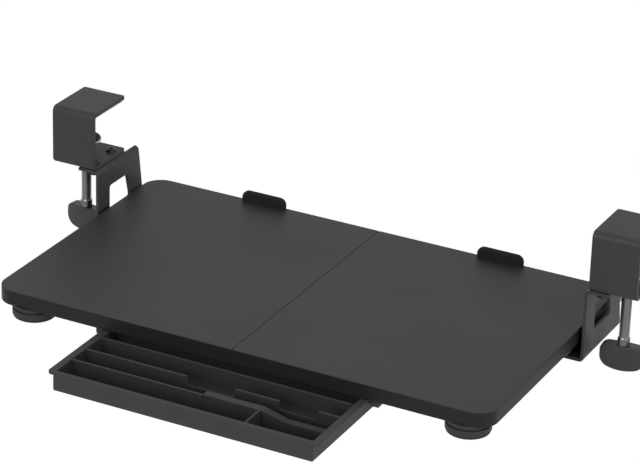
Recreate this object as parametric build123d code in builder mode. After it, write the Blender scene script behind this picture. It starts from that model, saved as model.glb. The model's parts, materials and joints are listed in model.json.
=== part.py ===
from build123d import *
import math
import os

# Clamp-on keyboard tray that slides under a desk, with a pencil drawer.
# Millimetres. X = 0 is the seam between the half boards, Y = 0 the desk's front edge and
# Z = 0 the desk's top face, with +Y towards the back of the desk. The tray and the drawer
# are drawn pulled out. The right clamp screw is drawn near the bottom of its travel, and
# the left one left_screw_lift higher, where it grips.

# Boards
tray_width = 508
tray_depth = 297
board_thickness = 15
tray_corner_radius = 20
board_edge_chamfer = 0.6
seam_gap = 0.3
tray_top_drop = 95.7
tray_back_reach = 99.5

# Clamps of bent strap
clamp_width = 47
clamp_depth = 60
clamp_height = 60
strap_thickness = 4
strap_bend = 6
strap_corner_radius = 2.5
clamp_side_gap = 1
pad_thickness = 2
pad_margin = 1.5

# Clamp screws
disc_rise = 2
left_screw_lift = 6
screw_diameter = 10
screw_bore_clearance = 0.08
screw_out_offset = 3.2
screw_hang = 68
screw_collar_step = 0.8
screw_collar_height = 7
screw_tip_step = 1.5
screw_tip_length = 3
screw_knob_depth = 16
screw_rim_chamfer = 0.6
thread_collar_height = 3
thread_collar_wall = 3
running_gap = 0.3

# Pressure discs
disc_diameter = 30
disc_thickness = 5
disc_base_diameter = 17
disc_rim_height = 2
disc_socket_play = 0.6
disc_socket_clearance = 0.08
disc_face_thickness = 2
disc_face_inset = 1

# Bar knobs
knob_length = 43
knob_height = 25
knob_thickness = 13
knob_end_thickness = 8
knob_crown = 4.5
knob_top_radius = 7.5
knob_bottom_radius = 11
knob_edge_radius = 1
knob_fit = 0.05
left_knob_turn = -9
right_knob_turn = 6

# Hanger brackets of bent sheet
bracket_sheet = 3
bracket_bend = 3
bracket_side_gap = 4
bracket_setback = 2
bracket_top_flange = 20
bracket_bottom_flange = 48
bracket_top_depth = 77.5
bracket_bottom_depth = 89.5
window_front_margin = 22
window_top_margin = 22.6
window_bottom_margin = 25
window_top_depth = 33
window_bottom_depth = 40
window_corner_radius = 3
bracket_bolt_diameter = 6
bracket_bolt_clearance = 0.2
bracket_bolt_head_diameter = 11
bracket_bolt_head_height = 2.6
bracket_bolt_margin = 14
bracket_bolt_edge = 9
bracket_nut_width = 10
bracket_nut_height = 5
bolt_tail = 1.5
hex_socket_width = 4
hex_socket_depth = 1.6

# Ball-bearing slides, lying flat
slide_height = 14
slide_sheet = 1.2
slide_width = 35
slide_inset = 28
ball_diameter = 5
ball_gap = 0.1
race_half_angle = 60
channel_length = 134
channel_flank = 1.4
rail_front_gap = 3
rail_back_inset = 2.5
rail_corner_radius = 1.5
cage_sheet = 0.6
cage_floor_gap = 0.5
cage_rail_gap = 0.4
cage_knee = 1.4
cage_flank = 0.9
cage_side_top = 9.6
cage_ball_pitch = 11
cage_balls_per_side = 5
cage_end_margin = 4
cage_front_inset = 1
crimp_length = 1
crimp_height = 3
crimp_depth = 1.4
slide_stud_diameter = 4
slide_stud_head_diameter = 7
slide_stud_head_height = 0.8
slide_stud_clearance = 0.2
slide_stud_fit = 0.05
slide_stud_edge = 14
slide_nut_width = 7
slide_nut_height = 3.2
rail_screw_count = 4
rail_screw_edge = 18

# Wood screws
wood_screw_diameter = 4
wood_screw_length = 11
wood_screw_head_diameter = 7.6
wood_screw_head_height = 2.2
wood_screw_fit = 0.1
small_screw_head_diameter = 6.6
screw_slot_width = 1.1
screw_slot_depth = 0.9

# Plates and dowels across the seam
joint_plate_length = 110
joint_plate_width = 42
joint_plate_thickness = 2
joint_plate_clearance = 0.15
joint_plate_corner = 5
joint_plate_front_margin = 48
joint_plate_back_margin = 36
joint_screw_margin = 11
joint_screw_head_diameter = 7.6
countersink_angle = 90
dowel_diameter = 8
dowel_length = 30
dowel_clearance = 0.1
dowel_end_space = 1
dowel_count = 3
dowel_margin = 55

# Stops at the back edge
stop_width = 48
stop_thickness = 7
stop_height = 11
stop_corner_radius = 7
stop_edge_radius = 2.5
stop_spread = 128.5
fittings_shift = 3
stop_screw_spacing = 28
stop_screw_depth = 6

# Feet under the front corners
foot_side_inset = 30.5
foot_setback = 19
foot_radius = 21
foot_cap_height = 3
foot_neck_inset = 1.6
foot_neck_height = 1.5
foot_body_height = 6.2
foot_edge_radius = 0.5
foot_sole_height = 2.5
foot_sole_inset = 0.8
foot_sole_fillet = 1
foot_recess_radius = 5.5
foot_recess_depth = 4.5

# Drawer rails
drawer_rail_web = 7.9
drawer_rail_lip_thickness = 2
drawer_rail_lip_rise = 2
drawer_side_gap = 0.8
drawer_body_gap = 1.1
drawer_rail_front_inset = 5.3
drawer_rail_back_inset = 43.2
drawer_rail_stop_length = 3
drawer_rail_screw_count = 3
drawer_rail_screw_edge = 22
drawer_rail_screw_recess = 2.6
drawer_rail_edge_radius = 0.8

# Drawer
drawer_open = 93
drawer_length = 250
drawer_body_width = 262.4
drawer_wall = 1.8
drawer_front_wall = 4
drawer_floor = 2
drawer_height = 18.8
drawer_lip_width = 5.5
drawer_lip_thickness = 3
drawer_lip_corner = 3.5
drawer_rim_radius = 0.6
drawer_top_gap = 0.8
drawer_corner_radius = 1.5
drawer_floor_fillet = 1.2
divider_wall = 2
divider_top_step = 0.6
front_lane = 26.5
second_lane = 21.9
third_lane = 24.8
fourth_lane = 24.8
bridge_start = 5
bridge_front_step = 1
bridge_thickness = 8
bridge_ramp_start = 63
bridge_ramp_length = 24
bridge_ramp_drop = 6
cross_wall_place = 62
rear_wall_place = 0
scoop_depth = 9
scoop_corner = 4
wide_scoop_centre = 0.5
wide_scoop_width = 49
small_scoop_centre = 88.5
small_scoop_width = 39

# One overrun for every cut
cut_over = 2

# Heights and places that follow from the sizes above
clamp_top = pad_thickness + strap_thickness
clamp_bottom = clamp_top - clamp_height
arm_top = clamp_bottom + strap_thickness
clamp_front = -strap_thickness
clamp_back = clamp_front + clamp_depth

tray_half = tray_width / 2
board_top = -tray_top_drop
board_bottom = board_top - board_thickness
tray_back = tray_back_reach
tray_front = tray_back - tray_depth
tray_middle = (tray_front + tray_back) / 2

bracket_inner = tray_half + bracket_side_gap
bracket_outer = bracket_inner + bracket_sheet
clamp_inner = bracket_outer + clamp_side_gap
clamp_middle = clamp_inner + clamp_width / 2
bracket_front = clamp_front + bracket_setback
flange_top = board_bottom - slide_height
bracket_bottom = flange_top - bracket_sheet

screw_x = clamp_middle + screw_out_offset
screw_y = clamp_front + clamp_depth / 2
disc_bottom = arm_top + thread_collar_height + disc_rise
disc_top = disc_bottom + disc_thickness
screw_top = disc_bottom - running_gap
screw_collar_radius = screw_diameter / 2 + screw_collar_step
screw_tip_radius = screw_diameter / 2 - screw_tip_step
disc_socket_depth = screw_tip_length - running_gap + disc_socket_play
knob_top = screw_top - screw_hang

slide_x = bracket_inner - slide_inset
channel_front = bracket_front
channel_back = channel_front + channel_length
foot_spread = tray_half - foot_side_inset
foot_xs = [fittings_shift - foot_spread, fittings_shift + foot_spread]
foot_y = tray_front + foot_setback
rail_front = foot_y + foot_radius + rail_front_gap
rail_back = tray_back - rail_back_inset
cage_length = (cage_balls_per_side - 1) * cage_ball_pitch + 2 * cage_end_margin
cage_front = channel_front + crimp_length + cage_front_inset
race_radius = ball_diameter / 2 + ball_gap + slide_sheet / 2
race_reach = race_radius * math.cos(math.radians(race_half_angle))
race_rise = race_radius * math.sin(math.radians(race_half_angle))
race_drop = (race_radius + slide_sheet / 2) * math.sin(math.radians(race_half_angle))
cage_rise = slide_sheet + cage_floor_gap + cage_sheet / 2
ball_rise = cage_rise + cage_sheet / 2 + cage_rail_gap + race_drop
ball_u = slide_width / 2 - slide_sheet / 2 - race_radius

drawer_front = tray_front - drawer_open
drawer_back = drawer_front + drawer_length
drawer_half = drawer_body_width / 2
drawer_top = board_bottom - drawer_top_gap
drawer_bottom = drawer_top - drawer_height
drawer_floor_top = drawer_bottom + drawer_floor
divider_top = drawer_top - divider_top_step
divider_height = divider_top - drawer_floor_top
drawer_inner_half = drawer_half - drawer_wall

drawer_rail_front = tray_front + drawer_rail_front_inset
drawer_rail_back = tray_back - drawer_rail_back_inset
drawer_rail_length = drawer_rail_back - drawer_rail_front
drawer_rail_inner = drawer_half + drawer_lip_width + drawer_side_gap
drawer_rail_outer = drawer_rail_inner + drawer_rail_web
drawer_rail_lip_edge = drawer_half + drawer_body_gap
drawer_rail_lip_top = drawer_top - drawer_lip_thickness - running_gap
drawer_rail_lip_bottom = drawer_rail_lip_top - drawer_rail_lip_thickness
drawer_rail_bottom = drawer_rail_lip_bottom - drawer_rail_lip_rise
drawer_rail_height = board_bottom - drawer_rail_bottom

bracket_bolt_x = bracket_outer + bracket_bolt_edge
bracket_bolt_ys = [clamp_front + bracket_bolt_margin, clamp_back - bracket_bolt_margin]
stud_ys = [
    channel_front + slide_stud_edge,
    bracket_front + bracket_top_depth - slide_stud_edge,
]
joint_plate_ys = [tray_front + joint_plate_front_margin, tray_back - joint_plate_back_margin]
dowel_ys = [
    tray_front + dowel_margin + step * (tray_depth - 2 * dowel_margin) / (dowel_count - 1)
    for step in range(dowel_count)
]
rail_screw_span = rail_back - rail_front - 2 * rail_screw_edge
rail_screw_ys = [
    rail_front + rail_screw_edge + step * rail_screw_span / (rail_screw_count - 1)
    for step in range(rail_screw_count)
]
drawer_rail_screw_ys = [
    drawer_rail_front
    + drawer_rail_screw_edge
    + step * (drawer_rail_length - 2 * drawer_rail_screw_edge) / (drawer_rail_screw_count - 1)
    for step in range(drawer_rail_screw_count)
]
stop_y = tray_back - stop_thickness / 2
stop_xs = [fittings_shift - stop_spread, fittings_shift + stop_spread]

pieces = {}


def keep(name, piece):
    """Label a finished piece and put it with the others under its name."""
    piece.part.label = name
    pieces[name] = piece.part


def mirrored(right_piece, lift=0):
    """The left-hand mirror image of a piece, raised by lift."""
    with BuildPart() as left_piece:
        with Locations((0, 0, lift)):
            add(right_piece.part)
        mirror(about=Plane.YZ, mode=Mode.REPLACE)
    return left_piece


def keep_pair(name, right_piece, left_lift=0):
    """Keep a right-hand piece and its mirror image on the left."""
    keep("left_" + name, mirrored(right_piece, left_lift))
    keep("right_" + name, right_piece)


def hex_nut(width, height, bore_diameter):
    """A hexagon nut standing on Z = 0."""
    with BuildPart() as nut:
        with BuildSketch():
            RegularPolygon(width / 2, 6, major_radius=False)
            Circle(bore_diameter / 2, mode=Mode.SUBTRACT)
        extrude(amount=height)
    return nut.part


def wood_screw(length, head_diameter=wood_screw_head_diameter, head_height=wood_screw_head_height):
    """A pan-head screw pointing up, with its seat at Z = 0 and a cross recess below."""
    with BuildPart() as screw:
        with BuildSketch(Plane.XZ):
            with BuildLine():
                Polyline(
                    (0, -head_height),
                    (head_diameter / 4, -head_height),
                    (head_diameter / 2, -head_height / 3),
                    (head_diameter / 2, 0),
                    (wood_screw_diameter / 2, 0),
                    (wood_screw_diameter / 2, length - wood_screw_diameter),
                    (0, length),
                    close=True,
                )
            make_face()
        revolve(axis=Axis.Z)
        with BuildSketch(Plane.XY.offset(-head_height)):
            Rectangle(head_diameter / 2, screw_slot_width)
            Rectangle(screw_slot_width, head_diameter / 2)
        extrude(amount=screw_slot_depth, mode=Mode.SUBTRACT)
    return screw.part


dome_radius_share = 0.44
dome_height_share = 0.7


def button_bolt(diameter, length, head_diameter, head_height):
    """A button-head bolt hanging from Z = 0 with a hexagon socket on top."""
    with BuildPart() as bolt:
        with BuildSketch(Plane.XZ):
            with BuildLine():
                Polyline(
                    (diameter / 2, 0),
                    (diameter / 2, -length),
                    (0, -length),
                    (0, head_height),
                    (head_diameter / 4, head_height),
                )
                ThreePointArc(
                    (head_diameter / 4, head_height),
                    (head_diameter * dome_radius_share, head_height * dome_height_share),
                    (head_diameter / 2, 0),
                )
                Line((head_diameter / 2, 0), (diameter / 2, 0))
            make_face()
        revolve(axis=Axis.Z)
        with BuildSketch(Plane.XY.offset(head_height)):
            RegularPolygon(hex_socket_width / 2, 6, major_radius=False)
        extrude(amount=-hex_socket_depth, mode=Mode.SUBTRACT)
    return bolt.part


def copies(shape, places):
    """A group of separate copies of one shape."""
    with BuildPart() as group:
        with Locations(*places):
            add(shape)
    return group


def both_sides(places):
    """Right-hand places and their mirror images."""
    return places + [(-x, y, z) for x, y, z in places]


# Places of the screws and bolts
bracket_bolt_places = both_sides([(bracket_bolt_x, y, arm_top) for y in bracket_bolt_ys])
bracket_nut_places = both_sides(
    [(bracket_bolt_x, y, clamp_bottom - bracket_sheet - bracket_nut_height) for y in bracket_bolt_ys]
)
stud_places = both_sides([(slide_x, y, flange_top + slide_sheet) for y in stud_ys])
stud_nut_places = both_sides([(slide_x, y, bracket_bottom - slide_nut_height) for y in stud_ys])
rail_screw_places = both_sides([(slide_x, y, board_bottom - slide_sheet) for y in rail_screw_ys])
stop_screw_places = [
    (x + reach, stop_y, board_bottom)
    for x in stop_xs
    for reach in (-stop_screw_spacing / 2, stop_screw_spacing / 2)
]
foot_screw_seat = foot_cap_height + foot_neck_height + foot_body_height + foot_sole_height - foot_recess_depth
foot_screw_places = [(x, foot_y, board_bottom - foot_screw_seat) for x in foot_xs]
drawer_rail_screw_x = drawer_rail_outer - drawer_rail_web / 2
drawer_rail_screw_seat = drawer_rail_height - drawer_rail_screw_recess
drawer_rail_screw_places = both_sides(
    [(drawer_rail_screw_x, y, board_bottom - drawer_rail_screw_seat) for y in drawer_rail_screw_ys]
)
joint_screw_x = joint_plate_length / 2 - joint_screw_margin
joint_screw_reach = joint_plate_width / 2 - joint_screw_margin
joint_screw_places = both_sides(
    [
        (joint_screw_x, y + reach, board_bottom)
        for y in joint_plate_ys
        for reach in (-joint_screw_reach, joint_screw_reach)
    ]
)
shared_hole_places = rail_screw_places + drawer_rail_screw_places + joint_screw_places

# Half board: outer corners rounded, with pockets and holes for all that fastens to both alike
with BuildPart() as half_board:
    with BuildSketch(Plane.XY.offset(board_bottom)):
        with Locations(((tray_half + seam_gap / 2) / 2, tray_middle)):
            board_face = Rectangle(tray_half - seam_gap / 2, tray_depth)
        fillet(board_face.vertices().group_by(Axis.X)[-1], tray_corner_radius)
    extrude(amount=board_thickness)
    chamfer(half_board.faces().sort_by(Axis.Z)[-1].edges(), board_edge_chamfer)
    with BuildSketch(Plane.XY.offset(board_bottom)):
        with Locations(*[(0, y) for y in joint_plate_ys]):
            RectangleRounded(
                joint_plate_length + 2 * joint_plate_clearance,
                joint_plate_width + 2 * joint_plate_clearance,
                joint_plate_corner,
            )
    extrude(amount=joint_plate_thickness, mode=Mode.SUBTRACT)
    with BuildSketch(Plane.XY.offset(board_bottom)):
        with Locations(*[(x, y) for x, y, z in shared_hole_places if x > 0]):
            Circle(wood_screw_diameter / 2 + wood_screw_fit)
    extrude(amount=wood_screw_length + wood_screw_fit, mode=Mode.SUBTRACT)
    with BuildSketch(Plane.YZ):
        with Locations(*[(y, (board_top + board_bottom) / 2) for y in dowel_ys]):
            Circle(dowel_diameter / 2 + dowel_clearance)
    extrude(amount=dowel_length / 2 + dowel_end_space, mode=Mode.SUBTRACT)

# Each half then gets the holes of its own foot and stop
for name, half, side in (("left_board", mirrored(half_board), -1), ("right_board", half_board, 1)):
    with BuildPart() as board:
        add(half.part)
        with BuildSketch(Plane.XY.offset(board_bottom)):
            with Locations(*[(x, y) for x, y, z in foot_screw_places if x * side > 0]):
                Circle(wood_screw_diameter / 2 + wood_screw_fit)
        extrude(amount=wood_screw_length + wood_screw_fit, mode=Mode.SUBTRACT)
        with BuildSketch(Plane.XY.offset(board_bottom)):
            with Locations(*[(x, y) for x, y, z in stop_screw_places if x * side > 0]):
                Circle(wood_screw_diameter / 2 + wood_screw_fit)
        extrude(amount=board_thickness, mode=Mode.SUBTRACT)
    keep(name, board)

# Plates let into the underside over the seam
with BuildPart() as joining_plates:
    with BuildSketch(Plane.XY.offset(board_bottom)):
        with Locations(*[(0, y) for y in joint_plate_ys]):
            RectangleRounded(joint_plate_length, joint_plate_width, joint_plate_corner)
    extrude(amount=joint_plate_thickness)
    with Locations(*[Location((x, y, z), (180, 0, 0)) for x, y, z in joint_screw_places]):
        CounterSinkHole(
            wood_screw_diameter / 2 + wood_screw_fit,
            joint_screw_head_diameter / 2 + wood_screw_fit,
            depth=joint_plate_thickness,
            counter_sink_angle=countersink_angle,
        )
keep("joining_plates", joining_plates)

joint_screw_head_reach = joint_screw_head_diameter / 2 - wood_screw_diameter / 2
joint_screw_head_height = joint_screw_head_reach / math.tan(math.radians(countersink_angle / 2))
with BuildPart() as joint_screw:
    with BuildSketch(Plane.XZ):
        with BuildLine():
            Polyline(
                (0, 0),
                (joint_screw_head_diameter / 2, 0),
                (wood_screw_diameter / 2, joint_screw_head_height),
                (wood_screw_diameter / 2, wood_screw_length - wood_screw_diameter),
                (0, wood_screw_length),
                close=True,
            )
        make_face()
    revolve(axis=Axis.Z)
    with BuildSketch():
        Rectangle(joint_screw_head_diameter / 2, screw_slot_width)
        Rectangle(screw_slot_width, joint_screw_head_diameter / 2)
    extrude(amount=screw_slot_depth, mode=Mode.SUBTRACT)
joint_screws = copies(joint_screw.part, joint_screw_places)
keep("joining_plate_screws", joint_screws)

with BuildPart() as seam_dowels:
    with BuildSketch(Plane.YZ.offset(-dowel_length / 2)):
        with Locations(*[(y, (board_top + board_bottom) / 2) for y in dowel_ys]):
            Circle(dowel_diameter / 2)
    extrude(amount=dowel_length)
keep("seam_dowels", seam_dowels)

# Clamp frame: one strap bent over the desk edge, with a drawn collar for the screw thread
strap_plane = Plane.YZ.offset(clamp_inner)
strap_middle = strap_thickness / 2
with BuildPart() as clamp_frame:
    with BuildSketch(strap_plane):
        with BuildLine():
            FilletPolyline(
                (clamp_back, clamp_top - strap_middle),
                (clamp_front + strap_middle, clamp_top - strap_middle),
                (clamp_front + strap_middle, clamp_bottom + strap_middle),
                (clamp_back, clamp_bottom + strap_middle),
                radius=strap_bend - strap_middle,
            )
        trace(line_width=strap_thickness)
    extrude(amount=clamp_width)
    free_corners = clamp_frame.faces().sort_by(Axis.Y)[-2:].edges().filter_by(Axis.Z)
    fillet(free_corners, strap_corner_radius)
    with BuildSketch(Plane.XY.offset(arm_top)):
        with Locations((screw_x, screw_y)):
            Circle(screw_diameter / 2 + thread_collar_wall)
    extrude(amount=thread_collar_height)
    fillet(
        clamp_frame.faces().filter_by(Axis.Z).sort_by(SortBy.AREA)[0].edges(),
        thread_collar_wall / 3,
    )
    with Locations((screw_x, screw_y, arm_top + thread_collar_height)):
        Hole(screw_diameter / 2 + screw_bore_clearance, depth=thread_collar_height + strap_thickness)
    with Locations(*[(bracket_bolt_x, y, arm_top) for y in bracket_bolt_ys]):
        Hole(bracket_bolt_diameter / 2 + bracket_bolt_clearance, depth=strap_thickness)
keep_pair("clamp_frame", clamp_frame)

# Pad between the top plate and the desk
pad_front = strap_bend - strap_thickness + running_gap
pad_length = clamp_back - pad_front - pad_margin
with BuildPart() as clamp_pad:
    with BuildSketch():
        with Locations((clamp_middle, pad_front + pad_length / 2)):
            RectangleRounded(clamp_width - 2 * pad_margin, pad_length, strap_corner_radius)
    extrude(amount=pad_thickness)
keep_pair("clamp_pad", clamp_pad)

# Hanger bracket: flange under the clamp arm, windowed side plate, flange under the tray
flange_middle = bracket_sheet / 2
bracket_plane = Plane.XZ.offset(-bracket_front)
with BuildPart() as hanger_bracket:
    with BuildSketch(bracket_plane):
        with BuildLine():
            FilletPolyline(
                (bracket_outer + bracket_top_flange, clamp_bottom - flange_middle),
                (bracket_inner + flange_middle, clamp_bottom - flange_middle),
                (bracket_inner + flange_middle, bracket_bottom + flange_middle),
                (bracket_inner - bracket_bottom_flange, bracket_bottom + flange_middle),
                radius=bracket_bend,
            )
        trace(line_width=bracket_sheet)
    extrude(amount=-bracket_bottom_depth)
    with BuildSketch(Plane.YZ):
        with BuildLine():
            Polyline(
                (bracket_front, clamp_bottom),
                (bracket_front + bracket_top_depth, clamp_bottom),
                (bracket_front + bracket_bottom_depth, bracket_bottom),
                (bracket_front, bracket_bottom),
                close=True,
            )
        make_face()
    extrude(amount=bracket_outer + bracket_top_flange, mode=Mode.INTERSECT)
    with BuildSketch(Plane.XY.offset(clamp_bottom + cut_over)):
        with Locations((bracket_outer + bracket_bend / 2, clamp_back)):
            Rectangle(
                bracket_top_flange + cut_over,
                bracket_bottom_depth,
                align=(Align.MIN, Align.MIN),
            )
    extrude(amount=-(bracket_sheet + cut_over), mode=Mode.SUBTRACT)
    window_front = bracket_front + window_front_margin
    window_top = clamp_bottom - window_top_margin
    window_bottom = bracket_bottom + window_bottom_margin
    with BuildSketch(Plane.YZ.offset(bracket_inner - cut_over)):
        with BuildLine():
            Polyline(
                (window_front, window_top),
                (window_front + window_top_depth, window_top),
                (window_front + window_bottom_depth, window_bottom),
                (window_front, window_bottom),
                close=True,
            )
        window_face = make_face()
        fillet(window_face.vertices(), window_corner_radius)
    extrude(amount=bracket_sheet + 2 * cut_over, mode=Mode.SUBTRACT)
    with Locations(*[(bracket_bolt_x, y, clamp_bottom) for y in bracket_bolt_ys]):
        Hole(bracket_bolt_diameter / 2 + bracket_bolt_clearance, depth=bracket_sheet)
    with Locations(*[(slide_x, y, flange_top) for y in stud_ys]):
        Hole(slide_stud_diameter / 2 + slide_stud_clearance, depth=bracket_sheet)
keep_pair("hanger_bracket", hanger_bracket)

bracket_bolts = copies(
    button_bolt(
        bracket_bolt_diameter,
        strap_thickness + bracket_sheet + bracket_nut_height + bolt_tail,
        bracket_bolt_head_diameter,
        bracket_bolt_head_height,
    ),
    bracket_bolt_places,
)
keep("bracket_bolts", bracket_bolts)
bracket_nuts = copies(
    hex_nut(bracket_nut_width, bracket_nut_height, bracket_bolt_diameter + 2 * bracket_bolt_clearance),
    bracket_nut_places,
)
keep("bracket_nuts", bracket_nuts)

# Clamp screw: rod with a swivel tip, and a smooth collar just above the knob
with BuildPart() as clamp_screw:
    with BuildSketch(Plane.XZ.offset(-screw_y)):
        with BuildLine():
            Polyline(
                (screw_x, screw_top + screw_tip_length),
                (screw_x + screw_tip_radius, screw_top + screw_tip_length),
                (screw_x + screw_tip_radius, screw_top),
                (screw_x + screw_diameter / 2, screw_top),
                (screw_x + screw_diameter / 2, knob_top + screw_collar_height),
                (screw_x + screw_collar_radius, knob_top + screw_collar_height),
                (screw_x + screw_collar_radius, knob_top),
                (screw_x + screw_diameter / 2, knob_top),
                (screw_x + screw_diameter / 2, knob_top - screw_knob_depth),
                (screw_x, knob_top - screw_knob_depth),
                close=True,
            )
        make_face()
    revolve(axis=Axis((screw_x, screw_y, 0), (0, 0, 1)))
    rims = clamp_screw.edges().filter_by(GeomType.CIRCLE)
    tip_rim = rims.sort_by(Axis.Z)[-1]
    rod_rim = rims.group_by(Axis.Z)[-2].sort_by(SortBy.RADIUS)[-1]
    collar_rim = rims.group_by(SortBy.RADIUS)[-1].sort_by(Axis.Z)[-1]
    chamfer([tip_rim, rod_rim, collar_rim], screw_rim_chamfer)
keep_pair("clamp_screw", clamp_screw, left_screw_lift)

# Pressure disc that swivels on the tip of the screw, with a rubber face
with BuildPart() as pressure_disc:
    with BuildSketch(Plane.XZ.offset(-screw_y)):
        with BuildLine():
            Polyline(
                (screw_x, disc_bottom),
                (screw_x + disc_base_diameter / 2, disc_bottom),
                (screw_x + disc_diameter / 2, disc_top - disc_rim_height),
                (screw_x + disc_diameter / 2, disc_top),
                (screw_x, disc_top),
                close=True,
            )
        make_face()
    revolve(axis=Axis((screw_x, screw_y, 0), (0, 0, 1)))
    with BuildSketch(Plane.XY.offset(disc_bottom)):
        with Locations((screw_x, screw_y)):
            Circle(screw_tip_radius + disc_socket_clearance)
    extrude(amount=disc_socket_depth, mode=Mode.SUBTRACT)
keep_pair("pressure_disc", pressure_disc, left_screw_lift)

with BuildPart() as disc_face:
    with BuildSketch(Plane.XY.offset(disc_top)):
        with Locations((screw_x, screw_y)):
            Circle(disc_diameter / 2 - disc_face_inset)
    extrude(amount=disc_face_thickness)
    chamfer(disc_face.faces().sort_by(Axis.Z)[-1].edges(), disc_face_inset)
keep_pair("disc_face", disc_face, left_screw_lift)

# Bar knob: a flat top and a crowned bottom in front view, a lens in plan
knob_bottom = knob_top - knob_height
with BuildPart() as knob:
    with BuildSketch(Plane.XZ) as knob_front:
        with BuildLine():
            Polyline(
                (-knob_length / 2, knob_bottom + knob_crown),
                (-knob_length / 2, knob_top),
                (knob_length / 2, knob_top),
                (knob_length / 2, knob_bottom + knob_crown),
            )
            ThreePointArc(
                (knob_length / 2, knob_bottom + knob_crown),
                (0, knob_bottom),
                (-knob_length / 2, knob_bottom + knob_crown),
            )
        make_face()
        knob_corners = knob_front.vertices().group_by(Axis.Y)
        fillet(knob_corners[-1], knob_top_radius)
        fillet(knob_front.vertices().group_by(Axis.Y)[0], knob_bottom_radius)
    extrude(amount=knob_thickness / 2, both=True)
    with BuildSketch(Plane.XY.offset(knob_bottom)):
        with BuildLine():
            Line((-knob_length / 2, -knob_end_thickness / 2), (-knob_length / 2, knob_end_thickness / 2))
            ThreePointArc(
                (-knob_length / 2, knob_end_thickness / 2),
                (0, knob_thickness / 2),
                (knob_length / 2, knob_end_thickness / 2),
            )
            Line((knob_length / 2, knob_end_thickness / 2), (knob_length / 2, -knob_end_thickness / 2))
            ThreePointArc(
                (knob_length / 2, -knob_end_thickness / 2),
                (0, -knob_thickness / 2),
                (-knob_length / 2, -knob_end_thickness / 2),
            )
        make_face()
    extrude(amount=knob_height, mode=Mode.INTERSECT)
    fillet(knob.edges().filter_by(GeomType.LINE, reverse=True), knob_edge_radius)
    with BuildSketch(Plane.XY.offset(knob_top)):
        Circle(screw_diameter / 2 + knob_fit)
    extrude(amount=-(screw_knob_depth + knob_fit), mode=Mode.SUBTRACT)
left_knob_place = Location((-screw_x, screw_y, left_screw_lift), (0, 0, left_knob_turn))
right_knob_place = Location((screw_x, screw_y, 0), (0, 0, right_knob_turn))
for name, place in (("left_knob", left_knob_place), ("right_knob", right_knob_place)):
    with BuildPart() as placed_knob:
        with Locations(place):
            add(knob.part)
    keep(name, placed_knob)

# Slide channel fixed on the bracket: a flat base whose sides curl round the balls
ball_v = flange_top + ball_rise
with BuildPart() as slide_channel:
    with BuildSketch(Plane.XZ.offset(-channel_front)):
        with BuildLine():
            Polyline(
                (slide_x, flange_top + slide_sheet / 2),
                (slide_x + ball_u + race_reach - channel_flank, flange_top + slide_sheet / 2),
                (slide_x + ball_u + race_reach, ball_v - race_rise),
            )
            ThreePointArc(
                (slide_x + ball_u + race_reach, ball_v - race_rise),
                (slide_x + ball_u + race_radius, ball_v),
                (slide_x + ball_u + race_reach, ball_v + race_rise),
            )
        trace(line_width=slide_sheet)
        mirror(about=Plane.YZ.offset(slide_x))
    extrude(amount=-channel_length)
    with BuildSketch(Plane.XY.offset(flange_top + slide_sheet)):
        with Locations(
            (slide_x, channel_front + crimp_length / 2), (slide_x, channel_back - crimp_length / 2)
        ):
            Rectangle(crimp_depth, crimp_length)
    extrude(amount=crimp_height)
    with Locations(*[(slide_x, y, flange_top + slide_sheet) for y in stud_ys]):
        CounterBoreHole(
            slide_stud_diameter / 2 + slide_stud_fit,
            slide_stud_head_diameter / 2 + slide_stud_fit,
            slide_stud_head_height,
            depth=slide_sheet,
        )
keep_pair("slide_channel", slide_channel)

# Studs pressed flush into the channel, with nuts under the bracket
stud_reach = slide_sheet + bracket_sheet + slide_nut_height + bolt_tail
with BuildPart() as slide_stud:
    with BuildSketch(Plane.XY.offset(-stud_reach)):
        Circle(slide_stud_diameter / 2)
    extrude(amount=stud_reach)
    with BuildSketch(Plane.XY.offset(-slide_stud_head_height)):
        Circle(slide_stud_head_diameter / 2)
    extrude(amount=slide_stud_head_height)
    chamfer(slide_stud.faces().sort_by(Axis.Z)[0].edges(), bolt_tail / 2)
slide_studs = copies(slide_stud.part, stud_places)
keep("slide_studs", slide_studs)
slide_nuts = copies(
    hex_nut(slide_nut_width, slide_nut_height, slide_stud_diameter + 2 * slide_stud_clearance),
    stud_nut_places,
)
keep("slide_nuts", slide_nuts)

# Ball cage: a thin channel with a row of pierced seats on each side
ball_ys = [cage_front + cage_end_margin + step * cage_ball_pitch for step in range(cage_balls_per_side)]
with BuildPart() as ball_cage:
    with BuildSketch(Plane.XZ.offset(-cage_front)):
        with BuildLine():
            Polyline(
                (slide_x, flange_top + cage_rise),
                (slide_x + ball_u - cage_flank, flange_top + cage_rise),
                (slide_x + ball_u, flange_top + cage_rise + cage_knee),
                (slide_x + ball_u, flange_top + cage_side_top),
            )
        trace(line_width=cage_sheet)
        mirror(about=Plane.YZ.offset(slide_x))
    extrude(amount=-cage_length)
    with BuildSketch(Plane.YZ.offset(slide_x - slide_width / 2)):
        with Locations(*[(y, ball_v) for y in ball_ys]):
            Circle(ball_diameter / 2 + ball_gap)
    extrude(amount=slide_width, mode=Mode.SUBTRACT)
keep_pair("ball_cage", ball_cage)

# Balls, held between the cage and the races
with BuildPart() as slide_balls:
    with Locations(*[(slide_x + side * ball_u, y, ball_v) for y in ball_ys for side in (-1, 1)]):
        Sphere(ball_diameter / 2)
keep_pair("slide_balls", slide_balls)

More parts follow.
